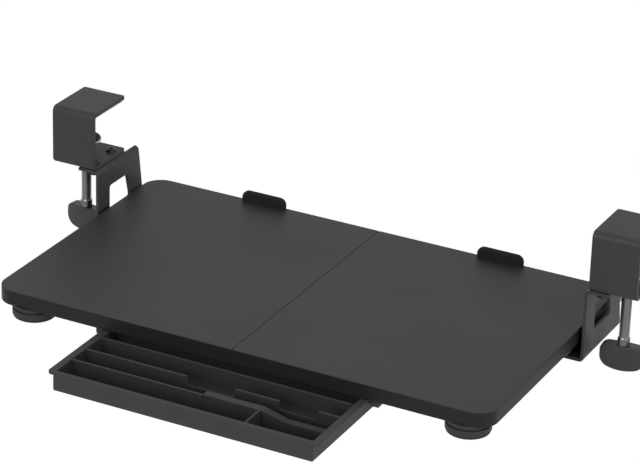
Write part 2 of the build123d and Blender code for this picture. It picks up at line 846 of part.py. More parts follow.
# Tray rail: the inner race, screwed under the board and running over the cage
with BuildPart() as tray_rail:
    with BuildSketch(Plane.XZ.offset(-rail_front)):
        with BuildLine():
            FilletPolyline(
                (slide_x, board_bottom - slide_sheet / 2),
                (slide_x + ball_u - race_reach, board_bottom - slide_sheet / 2),
                (slide_x + ball_u - race_reach, ball_v + race_rise),
                radius=rail_corner_radius,
            )
            ThreePointArc(
                (slide_x + ball_u - race_reach, ball_v + race_rise),
                (slide_x + ball_u - race_radius, ball_v),
                (slide_x + ball_u - race_reach, ball_v - race_rise),
            )
        trace(line_width=slide_sheet)
        mirror(about=Plane.YZ.offset(slide_x))
    extrude(amount=rail_front - rail_back)
    with Locations(*[(slide_x, y, board_bottom) for y in rail_screw_ys]):
        Hole(wood_screw_diameter / 2 + wood_screw_fit, depth=slide_sheet)
keep_pair("tray_rail", tray_rail)
tray_rail_screws = copies(wood_screw(wood_screw_length), rail_screw_places)
keep("tray_rail_screws", tray_rail_screws)

# Stops along the back edge, screwed from below through the board
with BuildPart() as stop:
    with BuildSketch(Plane.XZ.offset(-tray_back)) as stop_front:
        with Locations((0, board_top)):
            Rectangle(stop_width, stop_height, align=(Align.CENTER, Align.MIN))
        fillet(stop_front.vertices().group_by(Axis.Y)[-1], stop_corner_radius)
    extrude(amount=stop_thickness)
    front_rim = stop.faces().sort_by(Axis.Y)[0].edges()
    back_rim = stop.faces().sort_by(Axis.Y)[-1].edges()
    upper_rims = (front_rim + back_rim).filter_by(lambda edge: edge.center().Z > board_top + stop_edge_radius)
    fillet(upper_rims, stop_edge_radius)
    with BuildSketch(Plane.XY.offset(board_top)):
        with Locations((-stop_screw_spacing / 2, stop_y), (stop_screw_spacing / 2, stop_y)):
            Circle(wood_screw_diameter / 2 + wood_screw_fit)
    extrude(amount=stop_screw_depth + wood_screw_fit, mode=Mode.SUBTRACT)
for name, place in zip(("left_stop", "right_stop"), stop_xs):
    with BuildPart() as placed_stop:
        with Locations((place, 0, 0)):
            add(stop.part)
    keep(name, placed_stop)
stop_screws = copies(
    wood_screw(board_thickness + stop_screw_depth, small_screw_head_diameter),
    stop_screw_places,
)
keep("stop_screws", stop_screws)

# Feet: a wide cap, a groove, a body and a rubber sole, with a recess for the screw
foot_total = foot_cap_height + foot_neck_height + foot_body_height
foot_base = board_bottom - foot_total
foot_neck_radius = foot_radius - foot_neck_inset
with BuildPart() as foot:
    with BuildSketch(Plane.XZ.offset(-foot_y)):
        with BuildLine():
            Polyline(
                (0, board_bottom),
                (foot_radius, board_bottom),
                (foot_radius, board_bottom - foot_cap_height),
                (foot_neck_radius, board_bottom - foot_cap_height),
                (foot_neck_radius, foot_base + foot_body_height),
                (foot_radius, foot_base + foot_body_height),
                (foot_radius, foot_base),
                (0, foot_base),
                close=True,
            )
        make_face()
    revolve(axis=Axis((0, foot_y, 0), (0, 0, 1)))
    cap_edges = foot.edges().filter_by(GeomType.CIRCLE).group_by(SortBy.RADIUS)[-1]
    fillet(cap_edges.sort_by(Axis.Z)[:-1], foot_edge_radius)
    with BuildSketch(Plane.XY.offset(foot_base)):
        with Locations((0, foot_y)):
            Circle(foot_recess_radius)
    extrude(amount=foot_recess_depth - foot_sole_height, mode=Mode.SUBTRACT)
    with BuildSketch(Plane.XY.offset(board_bottom)):
        with Locations((0, foot_y)):
            Circle(wood_screw_diameter / 2 + wood_screw_fit)
    extrude(amount=-foot_total, mode=Mode.SUBTRACT)

with BuildPart() as foot_sole:
    with BuildSketch(Plane.XY.offset(foot_base - foot_sole_height)):
        with Locations((0, foot_y)):
            Circle(foot_radius - foot_sole_inset)
    extrude(amount=foot_sole_height)
    fillet(foot_sole.faces().sort_by(Axis.Z)[0].edges(), foot_sole_fillet)
    with BuildSketch(Plane.XY.offset(foot_base)):
        with Locations((0, foot_y)):
            Circle(foot_recess_radius)
    extrude(amount=-foot_sole_height, mode=Mode.SUBTRACT)

for side, place in zip(("left", "right"), foot_xs):
    for name, shape in (("foot", foot), ("foot_sole", foot_sole)):
        with BuildPart() as placed_piece:
            with Locations((place, 0, 0)):
                add(shape.part)
        keep(side + "_" + name, placed_piece)
foot_screws = copies(wood_screw(wood_screw_length + foot_screw_seat), foot_screw_places)
keep("foot_screws", foot_screws)

# Drawer rails: an L section whose lip carries the drawer, with a stop at the back
with BuildPart() as drawer_rail:
    with BuildSketch(Plane.XZ.offset(-drawer_rail_front)) as rail_section:
        with BuildLine():
            Polyline(
                (drawer_rail_outer, board_bottom),
                (drawer_rail_inner, board_bottom),
                (drawer_rail_inner, drawer_rail_lip_top),
                (drawer_rail_lip_edge, drawer_rail_lip_top),
                (drawer_rail_lip_edge, drawer_rail_lip_bottom),
                (drawer_rail_inner, drawer_rail_lip_bottom),
                (drawer_rail_inner, drawer_rail_bottom),
                (drawer_rail_outer, drawer_rail_bottom),
                close=True,
            )
        make_face()
        fillet(rail_section.vertices().group_by(Axis.Y)[0], drawer_rail_edge_radius)
    extrude(amount=-drawer_rail_length)
    with BuildSketch(Plane.XY.offset(board_bottom)):
        with Locations((drawer_rail_inner, drawer_rail_back)):
            Rectangle(
                drawer_rail_inner - drawer_rail_lip_edge,
                drawer_rail_stop_length,
                align=(Align.MAX, Align.MAX),
            )
    extrude(amount=drawer_rail_lip_top - board_bottom)
    with Locations(
        *[
            Location((drawer_rail_screw_x, y, drawer_rail_bottom), (180, 0, 0))
            for y in drawer_rail_screw_ys
        ]
    ):
        CounterBoreHole(
            wood_screw_diameter / 2 + wood_screw_fit,
            small_screw_head_diameter / 2 + wood_screw_fit,
            drawer_rail_screw_recess,
            depth=drawer_rail_height,
        )
keep_pair("drawer_rail", drawer_rail)
drawer_rail_screws = copies(
    wood_screw(wood_screw_length + drawer_rail_screw_seat, small_screw_head_diameter),
    drawer_rail_screw_places,
)
keep("drawer_rail_screws", drawer_rail_screws)

# Drawer: a moulded tray with side lips, dividers, finger scoops and a ramped bridge
drawer_inner_front = drawer_front + drawer_front_wall
drawer_inner_back = drawer_back - drawer_wall
first_wall = drawer_inner_front + front_lane
second_wall = first_wall + divider_wall + second_lane
third_wall = second_wall + divider_wall + third_lane
fourth_wall = third_wall + divider_wall + fourth_lane
bridge_front = first_wall + bridge_front_step
bridge_low_top = divider_top - bridge_ramp_drop
with BuildPart() as drawer:
    with BuildSketch(Plane.XY.offset(drawer_bottom)):
        with Locations((0, drawer_front)):
            body_face = Rectangle(drawer_body_width, drawer_length, align=(Align.CENTER, Align.MIN))
        fillet(body_face.vertices(), drawer_corner_radius)
    extrude(amount=drawer_height)
    fillet(drawer.faces().sort_by(Axis.Z)[0].edges(), drawer_floor_fillet)
    with BuildSketch(Plane.XY.offset(drawer_top - drawer_lip_thickness)):
        with Locations((0, drawer_front)):
            lip_face = Rectangle(
                drawer_body_width + 2 * drawer_lip_width,
                drawer_length,
                align=(Align.CENTER, Align.MIN),
            )
        fillet(lip_face.vertices(), drawer_lip_corner)
    extrude(amount=drawer_lip_thickness)
    fillet(drawer.faces().sort_by(Axis.Z)[-1].edges(), drawer_rim_radius)
    with BuildSketch(Plane.XY.offset(drawer_floor_top)):
        with Locations((0, (drawer_inner_front + drawer_inner_back) / 2)):
            RectangleRounded(
                2 * drawer_inner_half,
                drawer_inner_back - drawer_inner_front,
                drawer_corner_radius,
            )
    extrude(amount=drawer_height, mode=Mode.SUBTRACT)

    # Lengthwise walls, the first one only as far as the bridge
    with BuildSketch(Plane.XY.offset(drawer_floor_top)):
        with Locations((-drawer_inner_half, first_wall)):
            Rectangle(drawer_inner_half + bridge_start, divider_wall, align=(Align.MIN, Align.MIN))
        with Locations((0, third_wall), (0, fourth_wall)):
            Rectangle(2 * drawer_inner_half, divider_wall, align=(Align.CENTER, Align.MIN))
    extrude(amount=divider_height)
    with BuildSketch(Plane.XZ.offset(-second_wall)):
        with Locations((0, drawer_floor_top)):
            Rectangle(2 * drawer_inner_half, divider_height, align=(Align.CENTER, Align.MIN))
        with Locations((wide_scoop_centre, divider_top)):
            RectangleRounded(wide_scoop_width, 2 * scoop_depth, scoop_corner, mode=Mode.SUBTRACT)
        with Locations((small_scoop_centre, divider_top)):
            RectangleRounded(small_scoop_width, 2 * scoop_depth, scoop_corner, mode=Mode.SUBTRACT)
    extrude(amount=-divider_wall)

    # Bridge beside the front lane, with a ramp down to its lower end
    with BuildSketch(Plane.XZ.offset(-bridge_front)):
        with BuildLine():
            Polyline(
                (bridge_start, drawer_floor_top),
                (drawer_inner_half, drawer_floor_top),
                (drawer_inner_half, bridge_low_top),
                (bridge_ramp_start + bridge_ramp_length, bridge_low_top),
                (bridge_ramp_start, divider_top),
                (bridge_start, divider_top),
                close=True,
            )
        make_face()
    extrude(amount=-bridge_thickness)

    # Cross walls of the small front compartment and of the rear compartments
    with BuildSketch(Plane.XY.offset(drawer_floor_top)):
        with Locations((cross_wall_place, drawer_inner_front)):
            Rectangle(divider_wall, bridge_front - drawer_inner_front, align=(Align.CENTER, Align.MIN))
        with Locations((rear_wall_place, fourth_wall)):
            Rectangle(divider_wall, drawer_inner_back - fourth_wall, align=(Align.CENTER, Align.MIN))
    extrude(amount=divider_height)
keep("drawer", drawer)

os.makedirs("parts", exist_ok=True)
for name, piece in pieces.items():
    export_step(piece, f"parts/{name}.step")
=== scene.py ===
import json
import math

import bpy
from bpy.props import FloatProperty, FloatVectorProperty, IntProperty, PointerProperty
from mathutils import Matrix, Vector


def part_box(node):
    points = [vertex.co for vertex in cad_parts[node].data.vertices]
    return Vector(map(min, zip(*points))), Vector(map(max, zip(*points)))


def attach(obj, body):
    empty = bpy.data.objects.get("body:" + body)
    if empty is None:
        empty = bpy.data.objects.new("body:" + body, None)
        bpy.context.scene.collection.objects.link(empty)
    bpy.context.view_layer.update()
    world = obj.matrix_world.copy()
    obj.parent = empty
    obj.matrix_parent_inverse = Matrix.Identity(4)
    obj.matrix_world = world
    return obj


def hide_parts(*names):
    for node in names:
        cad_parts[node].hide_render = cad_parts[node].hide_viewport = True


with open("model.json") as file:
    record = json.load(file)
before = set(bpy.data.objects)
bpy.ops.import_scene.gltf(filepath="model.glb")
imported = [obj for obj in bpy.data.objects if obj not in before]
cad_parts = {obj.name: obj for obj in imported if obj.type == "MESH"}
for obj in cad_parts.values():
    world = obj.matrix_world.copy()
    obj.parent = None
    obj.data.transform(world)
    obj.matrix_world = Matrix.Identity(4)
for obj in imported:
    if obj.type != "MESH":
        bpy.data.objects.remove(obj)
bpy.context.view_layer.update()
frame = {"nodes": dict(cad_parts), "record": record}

# Clamp-on keyboard tray with a shallow drawer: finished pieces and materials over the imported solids.
# Metres. X = 0 is the seam between the boards, Y = 0 the front edge and Z = 0 the top of what
# the clamps grip, with +Y to its back.

bl_info = {
    "name": "Keyboard tray dresser",
    "version": (1, 0, 0),
    "blender": (4, 5, 0),
    "location": "View3D > Sidebar > Keyboard Tray",
    "description": "Builds the finished pieces, materials and stage of a clamp-on keyboard tray",
    "category": "Add Mesh",
}

nodes = frame["nodes"]
body_of = {node: body for body, held in frame["record"]["behaviour"]["bodies"].items() for node in held}
slot_of = {part["node"]: part["material_slot"] for part in frame["record"]["subparts"]}
finishes = {}
SIDES = ("left", "right")


# Shader maths

class Number:
    """A number on a shader socket, so that sums and products on it add Math nodes."""

    def __init__(self, owner, socket):
        self.owner = owner
        self.socket = socket

    def worked(self, operation, *values):
        """What a Math node makes of these values."""
        math_node = self.owner.node("ShaderNodeMath", {"operation": operation}, dict(enumerate(values)))
        return Number(self.owner, math_node.outputs[0])

    def __add__(self, other):
        return self.worked("ADD", self, other)

    __radd__ = __add__

    def __sub__(self, other):
        return self.worked("SUBTRACT", self, other)

    def __rsub__(self, other):
        return self.worked("SUBTRACT", other, self)

    def __mul__(self, other):
        return self.worked("MULTIPLY", self, other)

    __rmul__ = __mul__

    def __gt__(self, other):
        return self.worked("GREATER_THAN", self, other)

    def most(self, other):
        """The larger of two numbers."""
        return self.worked("MAXIMUM", self, other)

    def between(self, low, high):
        """0 below low and 1 above high, with a smooth rise between."""
        ranged = self.owner.node(
            "ShaderNodeMapRange",
            {"interpolation_type": "SMOOTHSTEP"},
            {"Value": self, "From Min": low, "From Max": high},
        )
        return Number(self.owner, ranged.outputs[0])


class Tree:
    """A node tree, with one method that makes all its nodes."""

    def __init__(self, tree):
        self.tree = tree

    def node(self, kind, settings=None, sockets=None):
        """Add a node with its settings, then the values or links of its sockets."""
        made = self.tree.nodes.new(kind)
        for key, value in (settings or {}).items():
            setattr(made, key, value)
        for key, value in (sockets or {}).items():
            self.feed(made.inputs[key], value)
        return made

    def feed(self, socket, value):
        """Link or set one socket."""
        if isinstance(value, Number):
            self.tree.links.new(value.socket, socket)
        elif isinstance(value, bpy.types.NodeSocket):
            self.tree.links.new(value, socket)
        else:
            socket.default_value = value

    def seen(self):
        """1 for what the camera sees directly, in gloss or through glass."""
        path = self.node("ShaderNodeLightPath").outputs
        direct, gloss, glass = [
            Number(self, path[kind]) for kind in ("Is Camera Ray", "Is Glossy Ray", "Is Transmission Ray")
        ]
        return direct.most(gloss).most(glass)


class Finish(Tree):
    """A procedural material on object coordinates."""

    def __init__(self, name):
        self.material = bpy.data.materials.new(name)
        self.material.use_nodes = True
        super().__init__(self.material.node_tree)
        self.shader = self.tree.nodes["Principled BSDF"]
        self.place = self.node("ShaderNodeTexCoord").outputs["Object"]

    def stretched(self, scale):
        """Object coordinates, stretched for a pattern with a direction."""
        return self.node("ShaderNodeMapping", None, {"Vector": self.place, "Scale": scale}).outputs[0]

    def noise(self, scale, detail, vector=None):
        """Soft noise from 0 to 1, with scale features to the metre."""
        sockets = {"Vector": vector or self.place, "Scale": scale, "Detail": detail}
        return Number(self, self.node("ShaderNodeTexNoise", None, sockets).outputs[0])

    def cells(self, scale):
        """Distance to the nearest of scattered points, scale points to the metre."""
        sockets = {"Vector": self.place, "Scale": scale}
        return Number(self, self.node("ShaderNodeTexVoronoi", None, sockets).outputs[0])

    def blend(self, factor, first, second):
        """One colour that changes to another by a factor."""
        mix = self.node("ShaderNodeMix", {"data_type": "RGBA"}, {0: factor, 6: first, 7: second})
        return mix.outputs[2]

    def axis(self, name):
        """One object coordinate, in metres."""
        return Number(self, self.node("ShaderNodeSeparateXYZ", None, {0: self.place}).outputs[name])

    def within(self, low, high):
        """1 between two corners in plan, fading upwards to 0 from the height of the first to the second's."""
        mask = 1 - self.axis("Z").between(low[2], high[2])
        for name, start, end in zip("XY", low, high):
            place = self.axis(name)
            mask = mask * (place > start) * (1 - (place > end))
        return mask

    def relief(self, height, depth):
        """Bump of a height from 0 to 1 that stands depth metres proud."""
        bump = self.node("ShaderNodeBump", None, {"Height": height, "Distance": depth, "Strength": 1})
        self.feed(self.shader.inputs["Normal"], bump.outputs[0])

    def set(self, **values):
        """Set or link the shader's own sockets."""
        for key, value in values.items():
            self.feed(self.shader.inputs[key.replace("_", " ")], value)


def shade(colour, share):
    """A colour made lighter or darker by a share."""
    return tuple(min(1, part * share) for part in colour[:3]) + (1,)


def moulded_plastic(name, colour, roughness, grain, depth, gloss=0.12, inside=None):
    """Plastic with a fine spark-eroded texture, with painted shade in a hollow where one is given."""
    finish = Finish(name)
    cloud = finish.noise(scale=22, detail=3)
    fine = finish.noise(scale=grain, detail=2)
    tone = finish.blend(cloud, shade(colour, 0.93), shade(colour, 1.07))
    # Painted shade: the hollow given by inside is darkened, standing in for the shade that falls in it
    if inside:
        low, high, share = inside
        tone = finish.blend(finish.within(low, high), tone, shade(colour, share))
    finish.set(
        Base_Color=tone,
        Roughness=roughness - 0.06 + cloud * 0.08 + fine * 0.05,
        Specular_IOR_Level=gloss,
    )
    finish.relief(fine, depth)
    return finish.material


# Edge of a board, measured down from its top: a painted highlight along the corner, then a dark line, then
# the band.
# The band ends a little over the underside.
PAINTED_HIGHLIGHT_START = 0.00004
BAND_START = 0.0006
DARK_LINE_END = 0.00132
BAND_END_RISE = 0.0002


def board_laminate(name, colour, edge_colour):
    """Dark laminate: fine fibrous print along the board, pearly relief, a painted highlight along the top
    corners.
    """
    finish = Finish(name)
    fibres = finish.noise(scale=60, detail=4, vector=finish.stretched((1, 14, 14)))
    cloud = finish.noise(scale=9, detail=2)
    pores = finish.cells(scale=1400)
    low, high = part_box("right_board")
    height = finish.axis("Z")
    # Painted highlight: the strip just under the top corner is made paler, standing in for the gloss along
    # the edge
    corner = (height > high.z - BAND_START) * (1 - (height > high.z - PAINTED_HIGHLIGHT_START))
    band = (height > low.z + BAND_END_RISE) * (1 - (height > high.z - BAND_START))
    dark_line = (height > high.z - DARK_LINE_END) * band
    print_tone = finish.blend(fibres.between(0.3, 0.75), shade(colour, 0.9), shade(colour, 1.12))
    print_and_highlight_tone = finish.blend(corner * fibres.between(0.1, 0.6), print_tone, shade(colour, 1.6))
    band_tone = finish.blend(cloud, shade(edge_colour, 0.9), shade(edge_colour, 1.1))
    side_tone = finish.blend(dark_line, band_tone, shade(edge_colour, 0.55))
    finish.set(
        Base_Color=finish.blend(band, print_and_highlight_tone, side_tone),
        Roughness=0.42 + cloud * 0.1 + fibres * 0.06,
        Specular_IOR_Level=0.18,
    )
    finish.relief(fibres * 0.5 + pores * 0.5, depth=0.00004)
    return finish.material


def powder_coat(name, colour):
    """Satin powder coat with a fine orange peel and a scatter of tiny specks."""
    finish = Finish(name)
    peel = finish.noise(scale=900, detail=2)
    cloud = finish.noise(scale=30, detail=2)
    specks = finish.cells(scale=2600).between(0.08, 0.2)
    tone = finish.blend(specks, shade(colour, 1.35), shade(colour, 1))
    finish.set(
        Base_Color=finish.blend(cloud * 0.35, tone, shade(colour, 0.85)),
        Roughness=0.4 + cloud * 0.08 + peel * 0.06,
        Specular_IOR_Level=0.12,
    )
    finish.relief(peel, depth=0.00005)
    return finish.material


def plated_steel(name, colour, roughness, stretch=(1, 1, 1), dull_tops=None):
    """Plated steel with faint rolling or turning marks, duller below a height given for each side."""
    finish = Finish(name)
    marks = finish.noise(scale=420, detail=4, vector=finish.stretched(stretch))
    cloud = finish.noise(scale=55, detail=3)
    tone = finish.blend(cloud, shade(colour, 0.86), shade(colour, 1.12))
    if dull_tops:
        left_top, right_top = dull_tops
        stains = finish.noise(scale=700, detail=3).between(0.3, 0.7)
        dull_top = (finish.axis("X") > 0) * (right_top - left_top) + left_top
        dull = 1 - (finish.axis("Z") > dull_top)
        tone = finish.blend(dull, tone, finish.blend(stains, shade(colour, 0.3), shade(colour, 0.62)))
    finish.set(
        Base_Color=tone,
        Metallic=1,
        Roughness=roughness - 0.08 + marks * 0.12 + cloud * 0.06,
    )
    finish.relief(marks, depth=0.000012)
    return finish.material


def rubber(name, colour):
    """Matt rubber with a dusty bloom."""
    finish = Finish(name)
    bloom = finish.noise(scale=70, detail=4)
    fine = finish.noise(scale=1500, detail=3)
    finish.set(
        Base_Color=finish.blend(bloom.between(0.35, 0.75), shade(colour, 0.9), shade(colour, 1.25)),
        Roughness=0.78 + bloom * 0.12,
        Specular_IOR_Level=0.3,
    )
    finish.relief(fine, depth=0.00008)
    return finish.material


def foam(name, colour):
    """Closed-cell foam rubber with fine open cells at its skin."""
    finish = Finish(name)
    cells = finish.cells(scale=1100)
    cloud = finish.noise(scale=60, detail=2)
    finish.set(
        Base_Color=finish.blend(cells.between(0.1, 0.6), shade(colour, 0.8), shade(colour, 1.04)),
        Roughness=0.86 + cloud * 0.06,
        Specular_IOR_Level=0.3,
    )
    finish.relief(cells, depth=0.00012)
    return finish.material


def beech(name, colour):
    """Plain beech along X, with short dark flecks."""
    finish = Finish(name)
    grain = finish.noise(scale=260, detail=5, vector=finish.stretched((0.08, 1, 1)))
    flecks = finish.noise(scale=900, detail=2, vector=finish.stretched((0.2, 1, 1))).between(0.62, 0.7)
    tone = finish.blend(grain, shade(colour, 0.8), shade(colour, 1.1))
    finish.set(
        Base_Color=finish.blend(flecks * 0.5, tone, shade(colour, 0.5)),
        Roughness=0.62 + grain * 0.1,
    )
    finish.relief(grain, depth=0.00005)
    return finish.material


# Sizes and colours a user may change

class KEYTRAY_PG_stage(bpy.types.PropertyGroup):
    """Floor, sky, lamps and camera"""
    floor_drop: FloatProperty(
        name="Floor drop", description="Depth of the floor under the top of what the clamps grip",
        default=5.5, min=0.2, unit="LENGTH",
    )
    floor_side: FloatProperty(
        name="Floor side", description="Length of a side of the floor", default=60, unit="LENGTH",
    )
    floor_colour: FloatVectorProperty(
        name="Floor colour", description="Plain colour of the floor",
        default=(0.86, 0.86, 0.86), subtype="COLOR",
    )
    floor_lift: FloatProperty(
        name="Floor lift", description="What the camera sees added to the lit floor",
        default=0.63, min=0, max=1,
    )
    sky_level: FloatProperty(name="Sky level", description="Light from all round", default=0.4, min=0)
    key_lamp_place: FloatVectorProperty(
        name="Key lamp place", description="Where the large front lamp hangs",
        default=(-0.4, -3.2, 1.5), subtype="TRANSLATION",
    )
    key_lamp_power: FloatProperty(
        name="Key lamp power", description="Power of the large front lamp", default=75, unit="POWER",
    )
    key_lamp_side: FloatProperty(
        name="Key lamp side", description="Length of a side of the large front lamp",
        default=2.2, unit="LENGTH",
    )
    top_lamp_place: FloatVectorProperty(
        name="Top lamp place", description="Where the lamp overhead hangs",
        default=(-0.9, 1.6, 2.4), subtype="TRANSLATION",
    )
    top_lamp_power: FloatProperty(
        name="Top lamp power", description="Power of the lamp overhead", default=3, unit="POWER",
    )
    top_lamp_side: FloatProperty(
        name="Top lamp side", description="Length of a side of the lamp overhead",
        default=1.6, unit="LENGTH",
    )
    right_lamp_place: FloatVectorProperty(
        name="Right lamp place", description="Where the lamp at the right hangs",
        default=(3.0, -0.9, 0.6), subtype="TRANSLATION",
    )
    right_lamp_power: FloatProperty(
        name="Right lamp power", description="Power of the lamp at the right", default=44, unit="POWER",
    )
    right_lamp_side: FloatProperty(
        name="Right lamp side", description="Length of a side of the lamp at the right",
        default=1.8, unit="LENGTH",
    )
    camera_place: FloatVectorProperty(
        name="Camera place", description="Where the camera stands",
        default=(1.16127, -2.34089, 1.14222), subtype="TRANSLATION",
    )
    camera_lens: FloatProperty(
        name="Camera lens", description="Focal length in millimetres on a 36 mm film",
        default=171.19, precision=3,
    )


class KEYTRAY_PG_edges(bpy.types.PropertyGroup):
    """Widths of the eased edges"""
    board: FloatProperty(
        name="Board rim", description="Width of the eased edges of the boards",
        default=0.0007, unit="LENGTH",
    )
    strap: FloatProperty(
        name="Strap rim", description="Width of the eased edges of the clamps",
        default=0.0006, unit="LENGTH",
    )
    sheet: FloatProperty(
        name="Sheet rim", description="Width of the eased edges of the brackets",
        default=0.0004, unit="LENGTH",
    )
    thin_sheet: FloatProperty(
        name="Thin sheet rim", description="Width of the eased edges of the slides and the joining plates",
        default=0.00015, unit="LENGTH",
    )
    moulding: FloatProperty(
        name="Moulding rim", description="Width of the eased edges of the drawer, its rails and the soles",
        default=0.0003, unit="LENGTH",
    )
    foot: FloatProperty(
        name="Foot rim", description="Width of the eased edges of the feet",
        default=0.0004, unit="LENGTH",
    )
    pad: FloatProperty(
        name="Pad rim", description="Width of the eased edges of the pads",
        default=0.0006, unit="LENGTH",
    )
    fastener: FloatProperty(
        name="Fastener rim", description="Width of the eased edges of screws and nuts",
        default=0.0002, unit="LENGTH",
    )
    socket: FloatProperty(
        name="Socket rim", description="Width of the eased edges of the sockets in the bolt heads",
        default=0.00012, unit="LENGTH",
    )


class KEYTRAY_PG_threads(bpy.types.PropertyGroup):
    """Pitches of the threads, and how finely they are stepped"""
    clamp_pitch: FloatProperty(
        name="Clamp screw pitch", description="Rise of the clamp screw's thread in a turn",
        default=0.0015, precision=5, unit="LENGTH",
    )
    bolt_pitch: FloatProperty(
        name="Bolt pitch", description="Rise of a bracket bolt's thread in a turn",
        default=0.001, precision=5, unit="LENGTH",
    )
    stud_pitch: FloatProperty(
        name="Stud pitch", description="Rise of a slide stud's thread in a turn",
        default=0.0007, precision=5, unit="LENGTH",
    )
    steps: IntProperty(name="Steps", description="Steps in one turn of a thread", default=24, min=12)


class KEYTRAY_PG_colours(bpy.types.PropertyGroup):
    """Colours of the finishes"""
    board: FloatVectorProperty(
        name="Board", description="Laminate of the two boards",
        default=(0.027, 0.027, 0.0275), subtype="COLOR",
    )
    board_edge: FloatVectorProperty(
        name="Board edge", description="Band round the edges of the boards",
        default=(0.0098, 0.0098, 0.01), subtype="COLOR",
    )
    paint: FloatVectorProperty(
        name="Powder coat", description="Clamps and brackets",
        default=(0.044, 0.044, 0.045), subtype="COLOR",
    )
    pad: FloatVectorProperty(
        name="Pad", description="Foam under the top plates",
        default=(0.6, 0.6, 0.58), subtype="COLOR",
    )
    thread: FloatVectorProperty(
        name="Clamp screw", description="Plating of the clamp screws",
        default=(0.3, 0.3, 0.31), subtype="COLOR",
    )
    zinc: FloatVectorProperty(
        name="Zinc", description="Zinc-plated discs and screws",
        default=(0.5, 0.51, 0.53), subtype="COLOR",
    )
    slide: FloatVectorProperty(
        name="Slide", description="Dark zinc on the slides",
        default=(0.2, 0.2, 0.206), subtype="COLOR",
    )
    bright: FloatVectorProperty(
        name="Bright steel", description="Balls and ball cages",
        default=(0.62, 0.62, 0.64), subtype="COLOR",
    )
    black_steel: FloatVectorProperty(
        name="Black steel", description="Bolts, nuts and joining plates",
        default=(0.03, 0.03, 0.032), subtype="COLOR",
    )
    knob: FloatVectorProperty(
        name="Knob", description="Moulded bar knobs",
        default=(0.018, 0.018, 0.0184), subtype="COLOR",
    )
    drawer: FloatVectorProperty(
        name="Drawer", description="Moulded drawer",
        default=(0.044, 0.044, 0.045), subtype="COLOR",
    )
    rail: FloatVectorProperty(
        name="Drawer rail", description="Moulded drawer rails",
        default=(0.04, 0.04, 0.041), subtype="COLOR",
    )
    stop: FloatVectorProperty(
        name="Stop", description="Moulded stops at the back edge",
        default=(0.0155, 0.0155, 0.0157), subtype="COLOR",
    )
    foot: FloatVectorProperty(
        name="Foot", description="Moulded feet",
        default=(0.039, 0.039, 0.0398), subtype="COLOR",
    )
    rubber: FloatVectorProperty(
        name="Rubber", description="Soles and disc faces",
        default=(0.018, 0.018, 0.018), subtype="COLOR",
    )
    beech: FloatVectorProperty(
        name="Dowel", description="Beech dowels in the seam",
        default=(0.5, 0.33, 0.18), subtype="COLOR",
    )


# Modelling steps

# Points nearer than this are one point
MERGE = 0.000002
# How near to a cut a point counts as in it, less than the smallest step of a thread
CUT = 0.0000001
# Faces that meet at less than this are shaded as one curve
SMOOTH = math.radians(38)
# Faces that meet at less than this are one flat face
FLAT = math.radians(0.4)
# Edges that turn by more than this are rounded
SHARP = math.radians(32)
# The same in the head of a bolt
SHARP_IN_HEAD = math.radians(40)
# Steps across a rounded corner of a turned piece
CORNER_STEPS = 3
# Places of two corners in an object's list of its box
LOWEST = 0
HIGHEST = 6


def deselect():
    """Leave edit mode and select nothing."""
    if bpy.context.object and bpy.context.object.mode != "OBJECT":
        bpy.ops.object.mode_set(mode="OBJECT")
    bpy.ops.object.select_all(action="DESELECT")


def pick(*pieces):
    """Select these pieces alone, with the first one active."""
    deselect()
    for piece in pieces:
        piece.select_set(True)
    bpy.context.view_layer.objects.active = pieces[0]


def edit(piece):
    """Open a piece with all of its mesh selected."""
    pick(piece)
    bpy.ops.object.mode_set(mode="EDIT")
    bpy.ops.mesh.select_all(action="SELECT")


def modify(piece, kind, **settings):
    """Add a modifier with its settings and apply it."""
    pick(piece)
    modifier = piece.modifiers.new(kind.lower(), kind)
    for key, value in settings.items():
        setattr(modifier, key, value)
    bpy.ops.object.modifier_apply(modifier=modifier.name)


def smooth(piece):
    """Shade curves smoothly and leave flats flat."""
    pick(piece)
    bpy.ops.object.shade_smooth_by_angle(angle=SMOOTH)
    modify(piece, "WEIGHTED_NORMAL", keep_sharp=True, weight=100)


def round_rims(piece, rim, segments=2, angle=SHARP):
    """Round the sharp edges by rim metres."""
    modify(
        piece, "BEVEL", width=rim, segments=segments, limit_method="ANGLE", angle_limit=angle,
        use_clamp_overlap=False,
    )


def round_rims_off(piece, rim, level):
    """Round by rim metres the sharp edges that don't touch a level."""
    edit(piece)
    bpy.ops.mesh.select_mode(type="EDGE")
    bpy.ops.mesh.select_all(action="DESELECT")
    bpy.ops.mesh.edges_select_sharp(sharpness=SHARP)
    bpy.ops.mesh.select_mode(type="VERT")
    bpy.ops.object.mode_set(mode="OBJECT")
    points = piece.data.vertices
    weights = piece.data.attributes.new("bevel_weight_edge", "FLOAT", "EDGE")
    for edge, weight in zip(piece.data.edges, weights.data):
        clear = all(abs(points[point].co.z - level) > MERGE for point in edge.vertices)
        weight.value = edge.select and clear
    modify(piece, "BEVEL", width=rim, segments=2, limit_method="WEIGHT", use_clamp_overlap=False)
    piece.data.attributes.remove(piece.data.attributes["bevel_weight_edge"])


def hand_over(piece, name, *replaced):
    """Name a piece, and give it the place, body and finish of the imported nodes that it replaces."""
    pick(piece)
    bpy.ops.object.transform_apply(location=True, rotation=True, scale=True)
    piece.name = name
    piece.data.name = name
    first = replaced[0]
    piece.data.materials.clear()
    piece.data.materials.append(finishes[slot_of[first]])
    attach(piece, body_of[first])
    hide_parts(*replaced)


def merged(node):
    """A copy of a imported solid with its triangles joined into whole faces."""
    deselect()
    piece = bpy.data.objects.new(node + "_copy", nodes[node].data.copy())
    bpy.context.scene.collection.objects.link(piece)
    pick(piece)
    bpy.ops.mesh.customdata_custom_splitnormals_clear()
    edit(piece)
    bpy.ops.mesh.remove_doubles(threshold=MERGE)
    bpy.ops.mesh.dissolve_limited(angle_limit=FLAT)
    bpy.ops.object.mode_set(mode="OBJECT")
    return piece


